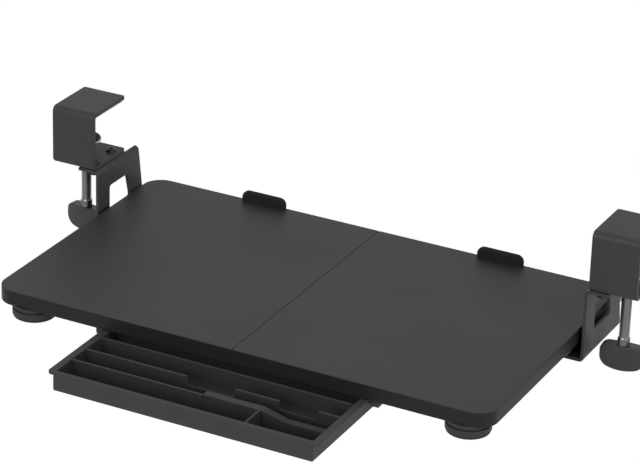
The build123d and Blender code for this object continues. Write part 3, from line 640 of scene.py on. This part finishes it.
def eased(node, rim, segments=2):
    """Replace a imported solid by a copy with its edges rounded, or as they are where rim is 0."""
    piece = merged(node)
    if rim:
        round_rims(piece, rim, segments)
    smooth(piece)
    hand_over(piece, node + "_finished", node)


def spots(node):
    """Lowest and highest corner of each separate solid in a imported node."""
    piece = merged(node)
    edit(piece)
    bpy.ops.mesh.separate(type="LOOSE")
    bpy.ops.object.mode_set(mode="OBJECT")
    found = []
    for part in list(bpy.context.selected_objects):
        corners = part.bound_box
        found.append((Vector(corners[LOWEST]), Vector(corners[HIGHEST])))
        bpy.data.objects.remove(part)
    return found


def rounded(outline, rim):
    """An outline of radius and height with its corners rounded by rim metres."""
    made = [outline[0]]
    for before, corner, after in zip(outline, outline[1:], outline[2:]):
        before, corner, after = Vector(before), Vector(corner), Vector(after)
        start = corner + (before - corner).normalized() * rim
        end = corner + (after - corner).normalized() * rim
        for step in range(CORNER_STEPS + 1):
            share = step / CORNER_STEPS
            made.append(tuple(start.lerp(corner, share).lerp(corner.lerp(end, share), share)))
    made.append(outline[-1])
    return made


def turned(outline, place=(0, 0, 0), sides=64):
    """A solid turned about an upright line through place, along an outline of radius and height."""
    deselect()
    x, y, base = place
    radius, height = outline[0]
    bpy.ops.mesh.primitive_circle_add(
        vertices=sides, radius=radius, fill_type="NGON", location=(x, y, base + height),
    )
    piece = bpy.context.object
    edit(piece)
    for next_radius, next_height in outline[1:]:
        rise = (0, 0, next_height - height)
        share = next_radius / radius
        bpy.ops.mesh.extrude_region_move(TRANSFORM_OT_translate={"value": rise})
        bpy.ops.transform.resize(value=(share, share, 1), center_override=(x, y, base + next_height))
        radius, height = next_radius, next_height
    bpy.ops.mesh.select_all(action="SELECT")
    bpy.ops.mesh.normals_make_consistent(inside=False)
    bpy.ops.object.mode_set(mode="OBJECT")
    return piece


# Depth of a metric thread, as a share of its pitch
THREAD_DEPTH_SHARE = 0.613
# Outline of one pitch of the thread, as shares of its depth and its pitch
THREAD_SHARES = ((0, 0), (0, 0.125), (1, 0.4375), (1, 0.5625), (0, 0.875), (0, 1))
# Turns that start below the lower cut, off a whole number so that no point lies in the cut
THREAD_RUN_IN = 2.013
# Turns that are wound besides those between the cuts
THREAD_SPARE_TURNS = 4


def threaded(radius, pitch, low, high, steps, place=(0, 0, 0)):
    """A rod with a helical thread from low to high, closed at both ends."""
    deselect()
    root = radius - pitch * THREAD_DEPTH_SHARE
    bpy.ops.mesh.primitive_circle_add(vertices=len(THREAD_SHARES), radius=radius)
    piece = bpy.context.object
    for point, (rise, run) in zip(piece.data.vertices, THREAD_SHARES):
        point.co = (root + rise * (radius - root), 0, low + (run - THREAD_RUN_IN) * pitch)
        point.select = False
    last = len(THREAD_SHARES) - 1
    for edge in piece.data.edges:
        edge.select = set(edge.vertices) == {0, last}
    bpy.ops.object.mode_set(mode="EDIT")
    bpy.ops.mesh.select_mode(type="EDGE")
    bpy.ops.mesh.delete(type="EDGE")
    bpy.ops.mesh.select_mode(type="VERT")
    bpy.ops.object.mode_set(mode="OBJECT")
    turns = math.ceil((high - low) / pitch) + THREAD_SPARE_TURNS
    modify(
        piece, "SCREW", angle=math.tau, screw_offset=pitch, iterations=turns,
        steps=steps, render_steps=steps, use_merge_vertices=True, merge_threshold=MERGE,
    )
    edit(piece)
    bpy.ops.mesh.remove_doubles(threshold=MERGE)
    for height, below in ((low, True), (high, False)):
        bpy.ops.mesh.select_all(action="SELECT")
        bpy.ops.mesh.bisect(
            plane_co=(0, 0, height), plane_no=(0, 0, 1), use_fill=True,
            clear_inner=below, clear_outer=not below, threshold=CUT,
        )
    bpy.ops.mesh.select_all(action="SELECT")
    bpy.ops.mesh.normals_make_consistent(inside=False)
    bpy.ops.object.mode_set(mode="OBJECT")
    piece.location = place
    return piece


def joined(*pieces):
    """Join pieces into the first one."""
    pick(*pieces)
    bpy.ops.object.transform_apply(location=True, rotation=True, scale=True)
    bpy.ops.object.join()
    return bpy.context.object


def copied(piece, places):
    """One piece with a copy of this one at each place."""
    made = []
    for place in places:
        copy = piece.copy()
        copy.data = piece.data.copy()
        copy.location = place
        bpy.context.scene.collection.objects.link(copy)
        made.append(copy)
    bpy.data.objects.remove(piece)
    return joined(*made)


def middle(low, high):
    """The point midway between two corners."""
    return (low + high) / 2


# Heights on the clamp screw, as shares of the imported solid's height
KNOB_DEPTH_SHARE = 0.1839
COLLAR_HEIGHT_SHARE = 0.0805
TIP_HEIGHT_SHARE = 0.0345
# How far over its collar a clamp screw is dull
DULL_RISE = 0.0001
# Pattern of drawn or rolled marks that run along Y
ALONG_SLIDE = (1, 0.08, 1)
# Painted shade inside the drawer: how far it stays off the sides, the front and the back, how far under
# the top it begins and is darkest, and the share of the drawer's own tone that it keeps
PAINTED_SHADE_SIDE_INSET = 0.0072
PAINTED_SHADE_FRONT_INSET = 0.0036
PAINTED_SHADE_BACK_INSET = 0.0015
PAINTED_SHADE_START = 0.0004
PAINTED_SHADE_END = 0.0022
PAINTED_SHADE_TONE_SHARE = 0.6


class KEYTRAY_OT_materials(bpy.types.Operator):
    """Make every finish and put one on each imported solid"""
    bl_idname = "keytray.materials"
    bl_label = "Materials"

    def execute(self, context):
        colours = context.scene.keytray_colours
        finishes.update({
            "board": board_laminate("board laminate", colours.board, colours.board_edge),
            "clamp_paint": powder_coat("clamp powder coat", colours.paint),
            "pad": foam("pad foam", colours.pad),
            "screw_steel": plated_steel(
                "screw plating", colours.thread, roughness=0.34, dull_tops=self.collar_tops(),
            ),
            "knob": moulded_plastic(
                "knob moulding", colours.knob, roughness=0.42, grain=1800, depth=0.00004, gloss=0.4,
            ),
            "disc_steel": plated_steel("disc plating", colours.zinc, roughness=0.36),
            "disc_rubber": rubber("disc rubber", colours.rubber),
            "slide_zinc": plated_steel("slide zinc", colours.slide, roughness=0.34, stretch=ALONG_SLIDE),
            "cage_steel": plated_steel("cage steel", colours.bright, roughness=0.3, stretch=ALONG_SLIDE),
            "ball_steel": plated_steel("ball steel", colours.bright, roughness=0.14),
            "black_fastener": plated_steel("black oxide", colours.black_steel, roughness=0.42),
            "zinc_fastener": plated_steel("zinc screws", colours.zinc, roughness=0.36),
            "plate_steel": powder_coat("plate powder coat", colours.black_steel),
            "stop_plastic": moulded_plastic(
                "stop moulding", colours.stop, roughness=0.6, grain=1700, depth=0.00003, gloss=0.04,
            ),
            "foot_plastic": moulded_plastic(
                "foot moulding", colours.foot, roughness=0.52, grain=1700, depth=0.00004,
            ),
            "sole_rubber": rubber("sole rubber", colours.rubber),
            "rail_plastic": moulded_plastic(
                "rail moulding", colours.rail, roughness=0.5, grain=1700, depth=0.00004,
            ),
            # The drawer's moulding carries painted shade that darkens its inside
            "drawer_plastic": moulded_plastic(
                "drawer moulding", colours.drawer, roughness=0.5, grain=2200, depth=0.00005,
                inside=self.drawer_painted_shade(),
            ),
            "dowel_wood": beech("dowel beech", colours.beech),
        })
        for node, slot in slot_of.items():
            for place in nodes[node].material_slots:
                place.material = finishes[slot]
        return {"FINISHED"}

    def collar_tops(self):
        """Heights just over the smooth collars of the left and the right clamp screw."""
        share = KNOB_DEPTH_SHARE + COLLAR_HEIGHT_SHARE
        boxes = [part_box(side + "_clamp_screw") for side in SIDES]
        return [low.z + (high.z - low.z) * share + DULL_RISE for low, high in boxes]

    def drawer_painted_shade(self):
        """Corners of the painted shade inside the drawer, and the share of the drawer's own tone that it
        keeps.
        """
        low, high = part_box("drawer")
        return (
            (low.x + PAINTED_SHADE_SIDE_INSET, low.y + PAINTED_SHADE_FRONT_INSET, high.z - PAINTED_SHADE_END),
            (high.x - PAINTED_SHADE_SIDE_INSET, high.y - PAINTED_SHADE_BACK_INSET, high.z - PAINTED_SHADE_START),
            PAINTED_SHADE_TONE_SHARE,
        )


# Points this near the seam are on a board's seam face, and keep this share of their distance to it
SEAM_REACH = 0.0005
SEAM_SHARE = 0.05


class KEYTRAY_OT_boards(bpy.types.Operator):
    """Build the two half boards and the plates let into them"""
    bl_idname = "keytray.boards"
    bl_label = "Boards"

    def execute(self, context):
        edges = context.scene.keytray_edges
        for side in SIDES:
            self.board(side + "_board", edges.board)
        eased("joining_plates", edges.thin_sheet)
        eased("joining_plate_screws", edges.fastener)
        return {"FINISHED"}

    def board(self, node, rim):
        """A half board whose seam face meets the other half."""
        piece = merged(node)
        edit(piece)
        bpy.ops.mesh.select_all(action="DESELECT")
        bpy.ops.object.mode_set(mode="OBJECT")
        for point in piece.data.vertices:
            point.select = abs(point.co.x) < SEAM_REACH
        bpy.ops.object.mode_set(mode="EDIT")
        bpy.ops.transform.resize(value=(SEAM_SHARE, 1, 1), center_override=(0, 0, 0))
        bpy.ops.object.mode_set(mode="OBJECT")
        round_rims(piece, rim, segments=3)
        smooth(piece)
        hand_over(piece, node + "_finished", node)


class KEYTRAY_OT_clamps(bpy.types.Operator):
    """Build the clamp frames and their pads"""
    bl_idname = "keytray.clamps"
    bl_label = "Clamps"

    def execute(self, context):
        edges = context.scene.keytray_edges
        for side in SIDES:
            eased(side + "_clamp_frame", edges.strap, segments=3)
            eased(side + "_clamp_pad", edges.pad, segments=3)
        return {"FINISHED"}


# Clamp screw: how far its collar stands out from its rod, the collar's eased edge and its slope on top
COLLAR_STEP = 0.0008
COLLAR_RIM = 0.0004
COLLAR_SLOPE = 0.0006
# Radii under and over the collar and at both ends, as shares of the rod's radius
CORE_SHARE = 0.98
NECK_SHARE = 0.97
CORE_END_SHARE = 0.9
# Height of the tapered lower end
CORE_TAPER = 0.0005
# Swivel tip: radius, eased end, fillet at its foot, and the core that sinks into the rod
TIP_RADIUS = 0.0035
TIP_RIM = 0.0006
TIP_FILLET = 0.0003
TIP_SINK = 0.0001
TIP_CORE_RADIUS = 0.0041
TIP_CORE_DEPTH = 0.002
# How far the thread starts inside the collar
CLAMP_THREAD_OVERLAP = 0.0005
# Disc and its rubber face, in shares of their radius and their height
DISC_OUTLINE_SHARES = (
    (0.9, 1), (0.965, 0.99), (1, 0.93), (1, 0.66), (0.985, 0.6), (0.62, 0.24), (0.585, 0.14), (0.57, 0.03),
    (0.55, 0), (0.25, 0), (0.24, 0.02), (0.24, 0.65),
)
FACE_OUTLINE_SHARES = (
    (0.3, 0.8), (0.36, 1), (0.46, 1), (0.52, 0.8), (0.6, 0.8), (0.66, 1), (0.76, 1), (0.82, 0.8), (0.88, 0.8),
    (0.93, 0.98), (0.97, 0.72), (1, 0.5), (1, 0),
)


class KEYTRAY_OT_screws(bpy.types.Operator):
    """Build the threaded clamp screws, their knobs and their swivelling discs"""
    bl_idname = "keytray.screws"
    bl_label = "Clamp screws"

    def execute(self, context):
        threads = context.scene.keytray_threads
        for side in SIDES:
            self.screw(side + "_clamp_screw", threads)
            self.round_piece(side + "_pressure_disc", DISC_OUTLINE_SHARES)
            self.round_piece(side + "_disc_face", FACE_OUTLINE_SHARES)
            eased(side + "_knob", 0)
        return {"FINISHED"}

    def screw(self, node, threads):
        """Thread between a swivel tip and a smooth collar that sits on the knob."""
        low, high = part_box(node)
        centre = middle(low, high)
        axis = (centre.x, centre.y, 0)
        tall = high.z - low.z
        collar = (high.x - low.x) / 2
        rod = collar - COLLAR_STEP
        knob_top = low.z + tall * KNOB_DEPTH_SHARE
        collar_top = knob_top + tall * COLLAR_HEIGHT_SHARE
        shoulder = high.z - tall * TIP_HEIGHT_SHARE
        collar_outline = (
            (rod * CORE_END_SHARE, collar_top + COLLAR_SLOPE),
            (rod * NECK_SHARE, collar_top),
            (collar - COLLAR_RIM, collar_top),
            (collar, collar_top - COLLAR_SLOPE),
            (collar, knob_top + COLLAR_RIM),
            (collar - COLLAR_RIM, knob_top),
            (rod * CORE_SHARE, knob_top),
            (rod * CORE_SHARE, low.z + CORE_TAPER),
            (rod * CORE_END_SHARE, low.z),
        )
        tip_outline = (
            (TIP_RADIUS - TIP_RIM, high.z),
            (TIP_RADIUS, high.z - TIP_RIM),
            (TIP_RADIUS, shoulder + TIP_FILLET - TIP_SINK),
            (TIP_RADIUS + TIP_FILLET, shoulder - TIP_SINK),
            (TIP_CORE_RADIUS, shoulder - TIP_SINK),
            (TIP_CORE_RADIUS, shoulder - TIP_CORE_DEPTH),
        )
        thread_start = collar_top - CLAMP_THREAD_OVERLAP
        thread = threaded(rod, threads.clamp_pitch, thread_start, shoulder, threads.steps, axis)
        whole = joined(thread, turned(collar_outline, axis), turned(tip_outline, axis))
        smooth(whole)
        hand_over(whole, node + "_threaded", node)

    def round_piece(self, node, shares):
        """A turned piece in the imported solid's box."""
        low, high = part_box(node)
        centre = middle(low, high)
        radius = (high.x - low.x) / 2
        tall = high.z - low.z
        outline = [(radius * run, low.z + tall * rise) for run, rise in shares]
        piece = turned(outline, (centre.x, centre.y, 0))
        smooth(piece)
        hand_over(piece, node + "_turned", node)


# Bracket bolt: domed head in shares of its radius and its height, hexagon socket, and shank
HEAD_OUTLINE_SHARES = (
    (0.5, 1), (0.6, 0.985), (0.72, 0.9), (0.84, 0.72), (0.93, 0.48), (0.985, 0.2), (1, 0.06), (0.97, 0),
    (0.5, 0),
)
BOLT_HEAD_HEIGHT = 0.0026
BOLT_SOCKET_RADIUS = 0.0023
BOLT_SOCKET_DEPTH = 0.0016
BOLT_RADIUS = 0.003
BOLT_SHANK_RISE = 0.0001
BOLT_SHANK_LENGTH = 0.0075
BOLT_SHANK_SIDES = 32
BOLT_THREAD_OVERLAP = 0.0003


class KEYTRAY_OT_brackets(bpy.types.Operator):
    """Build the hanger brackets, with their bolts and nuts"""
    bl_idname = "keytray.brackets"
    bl_label = "Brackets"

    def execute(self, context):
        edges = context.scene.keytray_edges
        for side in SIDES:
            eased(side + "_hanger_bracket", edges.sheet, segments=3)
        self.bolts(context.scene.keytray_threads, edges.socket)
        eased("bracket_nuts", edges.fastener)
        return {"FINISHED"}

    def bolts(self, threads, socket_rim):
        """Button-head bolts with a hexagon socket and a threaded tail."""
        found = spots("bracket_bolts")
        low, high = found[0]
        radius = (high.x - low.x) / 2
        seat = high.z - BOLT_HEAD_HEIGHT
        head = turned([(radius * run, BOLT_HEAD_HEIGHT * rise) for run, rise in HEAD_OUTLINE_SHARES])
        bpy.ops.mesh.primitive_cylinder_add(
            vertices=6, radius=BOLT_SOCKET_RADIUS, depth=BOLT_SOCKET_DEPTH * 2,
            location=(0, 0, BOLT_HEAD_HEIGHT),
        )
        socket = bpy.context.object
        modify(head, "BOOLEAN", object=socket, operation="DIFFERENCE")
        bpy.data.objects.remove(socket)
        round_rims(head, socket_rim, angle=SHARP_IN_HEAD)
        shank_outline = ((BOLT_RADIUS, BOLT_SHANK_RISE), (BOLT_RADIUS, -BOLT_SHANK_LENGTH))
        shank = turned(shank_outline, sides=BOLT_SHANK_SIDES)
        thread_end = BOLT_THREAD_OVERLAP - BOLT_SHANK_LENGTH
        tail = threaded(BOLT_RADIUS, threads.bolt_pitch, low.z - seat, thread_end, threads.steps)
        bolt = joined(head, shank, tail)
        centres = [middle(low, high) for low, high in found]
        group = copied(bolt, [(centre.x, centre.y, seat) for centre in centres])
        smooth(group)
        hand_over(group, "bracket_bolts_threaded", "bracket_bolts")


# Stud of a slide's channel: head in shares of its radius and its height, and shank
STUD_HEAD_OUTLINE_SHARES = ((0.93, 0), (1, 0.25), (1, 0.875), (0.97, 1))
STUD_HEAD_HEIGHT = 0.0008
STUD_RADIUS = 0.002
STUD_SHANK_LENGTH = 0.0045
STUD_SIDES = 40
STUD_THREAD_OVERLAP = 0.0002


class KEYTRAY_OT_slides(bpy.types.Operator):
    """Build the flat ball-bearing slides, with their cages, balls, studs and screws"""
    bl_idname = "keytray.slides"
    bl_label = "Slides"

    def execute(self, context):
        edges = context.scene.keytray_edges
        for side in SIDES:
            for piece in ("slide_channel", "tray_rail", "ball_cage"):
                eased(f"{side}_{piece}", edges.thin_sheet)
            self.balls(side + "_slide_balls")
        self.studs(context.scene.keytray_threads)
        for node in ("slide_nuts", "tray_rail_screws"):
            eased(node, edges.fastener)
        return {"FINISHED"}

    def balls(self, node):
        """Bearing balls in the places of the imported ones."""
        found = spots(node)
        low, high = found[0]
        deselect()
        bpy.ops.mesh.primitive_ico_sphere_add(subdivisions=4, radius=(high.x - low.x) / 2)
        group = copied(bpy.context.object, [middle(low, high) for low, high in found])
        smooth(group)
        hand_over(group, node + "_polished", node)

    def studs(self, threads):
        """Studs pressed into the channel, threaded below the bracket."""
        found = spots("slide_studs")
        low, high = found[0]
        radius = (high.x - low.x) / 2
        outline = [(radius * run, -STUD_HEAD_HEIGHT * fall) for run, fall in STUD_HEAD_OUTLINE_SHARES]
        outline += [(STUD_RADIUS, -STUD_HEAD_HEIGHT), (STUD_RADIUS, -STUD_SHANK_LENGTH)]
        head = turned(outline, sides=STUD_SIDES)
        thread_end = STUD_THREAD_OVERLAP - STUD_SHANK_LENGTH
        tail = threaded(STUD_RADIUS, threads.stud_pitch, low.z - high.z, thread_end, threads.steps)
        centres = [middle(low, high) for low, high in found]
        group = copied(joined(head, tail), [(centre.x, centre.y, high.z) for centre in centres])
        smooth(group)
        hand_over(group, "slide_studs_threaded", "slide_studs")


# Foot with a groove round it and a recess below, in shares of its radius and its height
FOOT_OUTLINE_SHARES = (
    (0.5, 1), (1, 1), (1, 0.735), (0.865, 0.735), (0.865, 0.525), (1, 0.525), (1, 0), (0.262, 0),
    (0.262, 0.187), (0.1, 0.187),
)
FOOT_SIDES = 96


class KEYTRAY_OT_fittings(bpy.types.Operator):
    """Build the stops and the feet, with their screws"""
    bl_idname = "keytray.fittings"
    bl_label = "Stops and feet"

    def execute(self, context):
        edges = context.scene.keytray_edges
        for side in SIDES:
            eased(side + "_stop", 0)
            self.foot(side + "_foot", edges.foot)
            eased(side + "_foot_sole", edges.moulding)
        for node in ("stop_screws", "foot_screws"):
            eased(node, edges.fastener)
        return {"FINISHED"}

    def foot(self, node, rim):
        """A cap, a groove and a body turned in one, with a recess for the screw below."""
        low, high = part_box(node)
        centre = middle(low, high)
        radius = (high.x - low.x) / 2
        tall = high.z - low.z
        outline = [(radius * run, low.z + tall * rise) for run, rise in FOOT_OUTLINE_SHARES]
        piece = turned(rounded(outline, rim), (centre.x, centre.y, 0), sides=FOOT_SIDES)
        smooth(piece)
        hand_over(piece, node + "_turned", node)


# Thickness of the lips that the drawer hangs by
DRAWER_LIP_THICKNESS = 0.003


class KEYTRAY_OT_drawer(bpy.types.Operator):
    """Build the drawer and its rails"""
    bl_idname = "keytray.drawer"
    bl_label = "Drawer"

    def execute(self, context):
        edges = context.scene.keytray_edges
        piece = merged("drawer")
        lip_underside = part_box("drawer")[1].z - DRAWER_LIP_THICKNESS
        round_rims_off(piece, edges.moulding, lip_underside)
        smooth(piece)
        hand_over(piece, "drawer_finished", "drawer")
        for side in SIDES:
            eased(side + "_drawer_rail", edges.moulding)
        eased("drawer_rail_screws", edges.fastener)
        return {"FINISHED"}


# Where the camera's right, its up and its back point
CAMERA_AXES = ((0.88732, 0.46028, 0.02848), (-0.21530, 0.35884, 0.90823), (0.40782, -0.81202, 0.41750))
# Width of the film in millimetres, and how far the camera sees in metres
FILM_WIDTH = 36
CAMERA_REACH = 200


class KEYTRAY_OT_stage(bpy.types.Operator):
    """Set the floor, the lamps, the sky and the camera"""
    bl_idname = "keytray.stage"
    bl_label = "Stage"

    def execute(self, context):
        sizes = context.scene.keytray_stage
        self.floor(context, sizes)
        self.sky(context, sizes.sky_level)
        self.lamp(context, "key lamp", sizes.key_lamp_place, sizes.key_lamp_power, sizes.key_lamp_side)
        self.lamp(context, "top lamp", sizes.top_lamp_place, sizes.top_lamp_power, sizes.top_lamp_side)
        self.lamp(
            context, "right lamp", sizes.right_lamp_place, sizes.right_lamp_power, sizes.right_lamp_side,
        )
        self.camera(context, sizes)
        context.scene.view_settings.view_transform = "Standard"
        return {"FINISHED"}

    def floor(self, context, sizes):
        """A plain floor far below."""
        deselect()
        bpy.ops.mesh.primitive_plane_add(size=sizes.floor_side, location=(0, 0, -sizes.floor_drop))
        floor = context.object
        floor.name = "floor"
        bpy.ops.object.transform_apply(location=True)
        floor.data.materials.append(self.surface(sizes))

    def surface(self, sizes):
        """The floor's own colour for light, raised to white for the camera, gloss and glass."""
        finish = Finish("plain floor")
        lift = (sizes.floor_lift,) * 3 + (1,)
        finish.set(
            Base_Color=tuple(sizes.floor_colour) + (1,),
            Roughness=0.9,
            Emission_Color=finish.blend(finish.seen(), (0, 0, 0, 1), lift),
            Emission_Strength=1,
        )
        return finish.material

    def sky(self, context, level):
        """White all round, and a softer level for the light it gives."""
        world = bpy.data.worlds.new("pale sky")
        world.use_nodes = True
        sky = Tree(world.node_tree)
        background = sky.tree.nodes["Background"]
        sky.feed(background.inputs["Color"], (1, 1, 1, 1))
        sky.feed(background.inputs["Strength"], level + sky.seen() * (1 - level))
        context.scene.world = world

    def lamp(self, context, name, place, power, side):
        """A square soft lamp that faces the tray."""
        deselect()
        bpy.ops.object.light_add(type="AREA", location=place)
        lamp = context.object
        lamp.name = name
        lamp.data.energy = power
        lamp.data.size = side
        lamp.rotation_euler = (-Vector(place)).to_track_quat("-Z", "Y").to_euler()

    def camera(self, context, sizes):
        """The camera at the photograph's place and angle."""
        bpy.ops.object.camera_add()
        camera = context.object
        camera.name = "camera"
        camera.matrix_world = (
            Matrix.Translation(sizes.camera_place) @ Matrix(CAMERA_AXES).transposed().to_4x4()
        )
        camera.data.lens = sizes.camera_lens
        camera.data.sensor_width = FILM_WIDTH
        camera.data.clip_end = CAMERA_REACH
        context.scene.camera = camera


class KEYTRAY_PT_panel(bpy.types.Panel):
    """Lists the steps that build the keyboard tray"""
    bl_label = "Keyboard Tray"
    bl_idname = "KEYTRAY_PT_panel"
    bl_space_type = "VIEW_3D"
    bl_region_type = "UI"
    bl_category = "Keyboard Tray"

    def draw(self, context):
        for step in STEPS:
            self.layout.operator(step.bl_idname)


STEPS = (
    KEYTRAY_OT_materials,
    KEYTRAY_OT_boards,
    KEYTRAY_OT_clamps,
    KEYTRAY_OT_screws,
    KEYTRAY_OT_brackets,
    KEYTRAY_OT_slides,
    KEYTRAY_OT_fittings,
    KEYTRAY_OT_drawer,
    KEYTRAY_OT_stage,
)
GROUPS = {
    "keytray_stage": KEYTRAY_PG_stage,
    "keytray_edges": KEYTRAY_PG_edges,
    "keytray_threads": KEYTRAY_PG_threads,
    "keytray_colours": KEYTRAY_PG_colours,
}


def register():
    """Register the classes, and give the scene the sizes and colours."""
    for group in GROUPS.values():
        bpy.utils.register_class(group)
    for name, group in GROUPS.items():
        setattr(bpy.types.Scene, name, PointerProperty(type=group))
    for step in STEPS:
        bpy.utils.register_class(step)
    bpy.utils.register_class(KEYTRAY_PT_panel)


def unregister():
    """Take the sizes and colours from the scene, and the classes out."""
    bpy.utils.unregister_class(KEYTRAY_PT_panel)
    for step in reversed(STEPS):
        bpy.utils.unregister_class(step)
    for name in GROUPS:
        delattr(bpy.types.Scene, name)
    for group in GROUPS.values():
        bpy.utils.unregister_class(group)


def main():
    """Build everything."""
    register()
    for step in STEPS:
        group, name = step.bl_idname.split(".")
        getattr(getattr(bpy.ops, group), name)()


if __name__ == "__main__":
    main()
